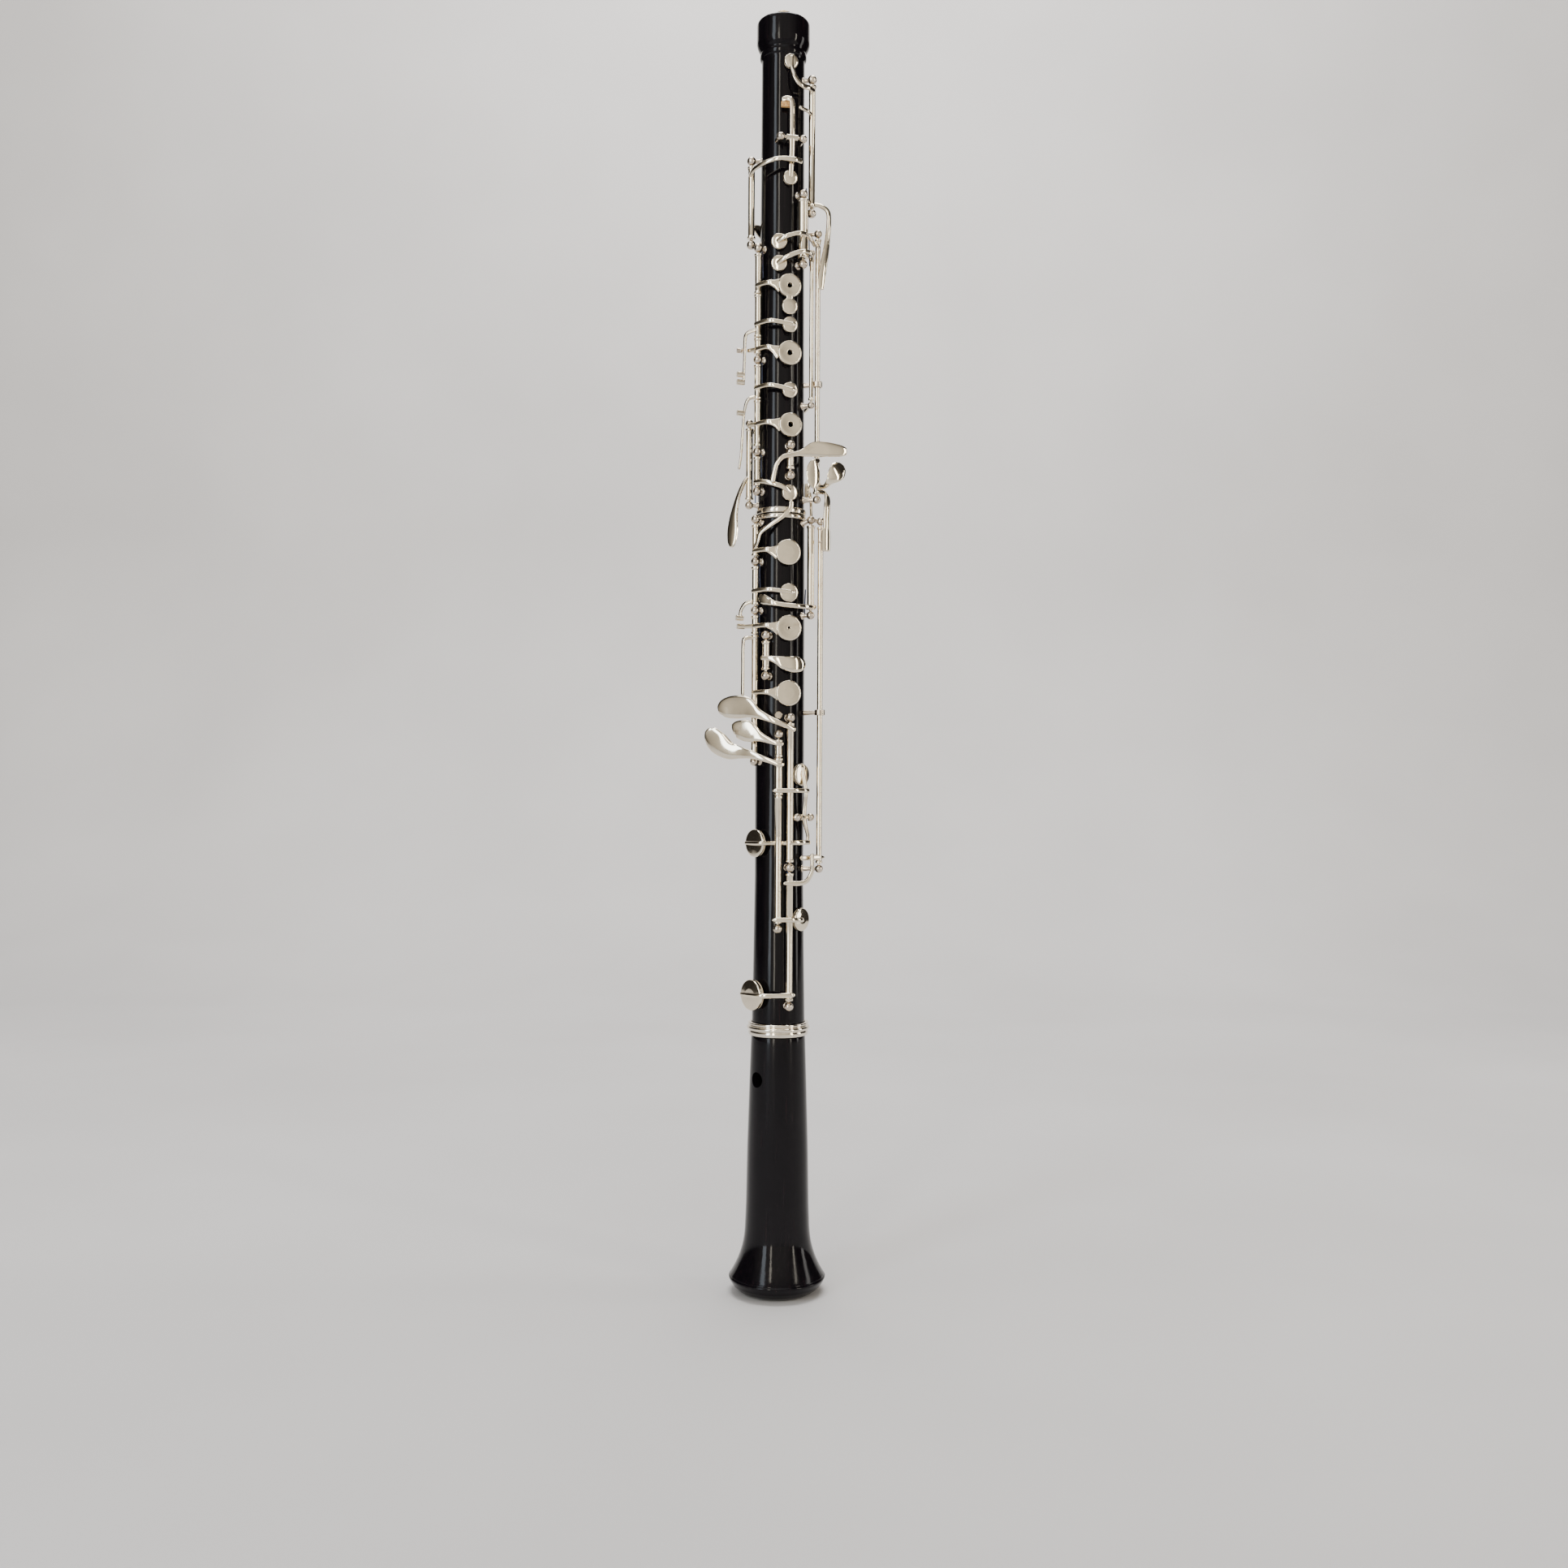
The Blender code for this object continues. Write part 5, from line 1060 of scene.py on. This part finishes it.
def needle_spring(name, hinge, start, length):
    """A blued needle spring from a post's stem along the wood under its key's tube."""
    azimuth, radius = hinge
    low = (side_radius(start) + radius - TUBE_RADIUS) / 2
    wire = strap([(azimuth - 1, low, start, 0.4, 0.3), (azimuth, low + 0.05, start + length * 0.5, 0.36, 0.3),
                  (azimuth + 2, low + 0.1, start + length, 0.35, 0.3)], 8)
    add_piece(name, [wire], "spring", ROOT)


def bumper():
    """The cork under the upper end of the first octave's rocker."""
    azimuth = -9.0
    block = box(at(azimuth, 12.5, 542.6), sideways(azimuth), outward(azimuth), (4.4, 1.8, 2.6))
    add_piece("octave_bumper_cork", [block], "bumper", "first_octave_key")


# ---- studio

def stage():
    """A pale floor that curves up into a plain backdrop behind the instrument."""
    shape = bmesh.new()
    outline = [(COVE_FRONT, 0.0), (COVE_CORNER, 0.0)]
    for k in range(1, 13):
        turn = radians(90 * k / 12)
        outline.append((COVE_CORNER + COVE_RADIUS * sin(turn), COVE_RADIUS - COVE_RADIUS * cos(turn)))
    outline.append((COVE_CORNER + COVE_RADIUS, COVE_HEIGHT))
    rows = []
    for y, z in outline:
        rows.append([shape.verts.new((x, y, z - 0.0004)) for x in (-COVE_HALF_WIDTH, COVE_HALF_WIDTH)])
    for near, far in zip(rows, rows[1:]):
        shape.faces.new((near[0], near[1], far[1], far[0]))
    cove = bpy.data.objects.new("studio_cove", mesh_from(shape))
    cove.data.shade_smooth()
    cove.rotation_euler = (0, 0, radians(CAMERA_TURN))
    made = bpy.data.materials.new("studio_paper")
    tree, shader = nodes_of(made)
    tone = ramp(tree, noise(tree, 3.0, 3.0), [(0.3, (0.56, 0.545, 0.54)), (0.7, (0.62, 0.605, 0.60))])
    tree.links.new(tone, shader.inputs["Base Color"])
    shader.inputs["Roughness"].default_value = 0.85
    cove.data.materials.append(made)
    bpy.context.scene.collection.objects.link(cove)


def light(name, place, target, size, power, tone=(1.0, 1.0, 1.0)):
    """A soft rectangular light, as (width, height) in metres, at a place and facing a target."""
    lamp = bpy.data.lights.new(name, "AREA")
    lamp.shape = "RECTANGLE"
    lamp.size, lamp.size_y = size
    lamp.energy = power
    lamp.color = tone
    item = bpy.data.objects.new(name, lamp)
    item.location = place
    item.rotation_euler = (Vector(target) - item.location).to_track_quat("-Z", "Y").to_euler()
    bpy.context.scene.collection.objects.link(item)


def lights():
    for name, azimuth, distance, height, size, power, tone in TALL_LIGHTS:
        place = outward(azimuth) * distance + Vector((0, 0, height))
        light(name, place, (0, 0, MIDDLE), size, power, tone)
    light("overhead", (-0.2, -0.2, 1.7), (0, 0, 0), (1.4, 1.4), 9.0)
    light("backdrop_wash", (0.15, 0.35, 2.2), (0.40, 1.50, 0.45), (1.2, 1.2), 56.0)


def room():
    """A plain room for the metal to mirror: bright in front, dark at the sides and behind."""
    world = bpy.data.worlds.new("room")
    bpy.context.scene.world = world
    world.use_nodes = True
    tree = world.node_tree
    place = tree.nodes.new("ShaderNodeTexCoord")
    toward = tree.nodes.new("ShaderNodeVectorMath")
    toward.operation = "DOT_PRODUCT"
    toward.inputs[1].default_value = outward(BRIGHT_SIDE)
    tree.links.new(place.outputs["Generated"], toward.inputs[0])
    level = ramp(tree, toward.outputs["Value"],
                 [(0.0, (0.030, 0.027, 0.025)), (0.35, (0.12, 0.11, 0.095)), (0.60, (0.50, 0.46, 0.40)),
                  (0.85, (0.95, 0.88, 0.77))])
    tree.links.new(level, tree.nodes["Background"].inputs["Color"])
    tree.nodes["Background"].inputs["Strength"].default_value = 1.0


def camera():
    lens = bpy.data.cameras.new("camera")
    lens.lens = CAMERA_LENS
    lens.sensor_width = 36.0
    lens.clip_start = 0.01
    item = bpy.data.objects.new("camera", lens)
    right, up = Vector(CAMERA_RIGHT), Vector(CAMERA_UP)
    turn = Matrix((right, up, right.cross(up))).transposed()
    item.matrix_world = (Matrix.Translation(CAMERA_AT) @ Matrix.Rotation(radians(CAMERA_TURN), 4, "Z")
                         @ turn.to_4x4())
    bpy.context.scene.collection.objects.link(item)
    bpy.context.scene.camera = item


def main():
    upper_joint()
    lower_joint()
    bell()
    trim()
    for make in (second_octave_key, first_octave_key, thumb_octave_key, upper_trill_key, lower_trill_key,
                 left_trill_lever, half_hole_key, c_vent_key, left_middle_key, b_vent_key, left_ring_key,
                 g_sharp_pad_key, g_sharp_lever, right_trill_spoon, left_low_b_lever, right_index_key,
                 f_sharp_vent_key, right_middle_key, right_ring_key, side_key, f_key, low_b_rod, low_c_key,
                 c_sharp_key, e_flat_key, e_flat_rocker_key, low_b_pad_key):
        finish(make.__name__, make(), "key")
    make_posts()
    small_parts()
    for spring in SPRINGS:
        needle_spring(*spring)
    bumper()
    stage()
    lights()
    room()
    camera()


main()
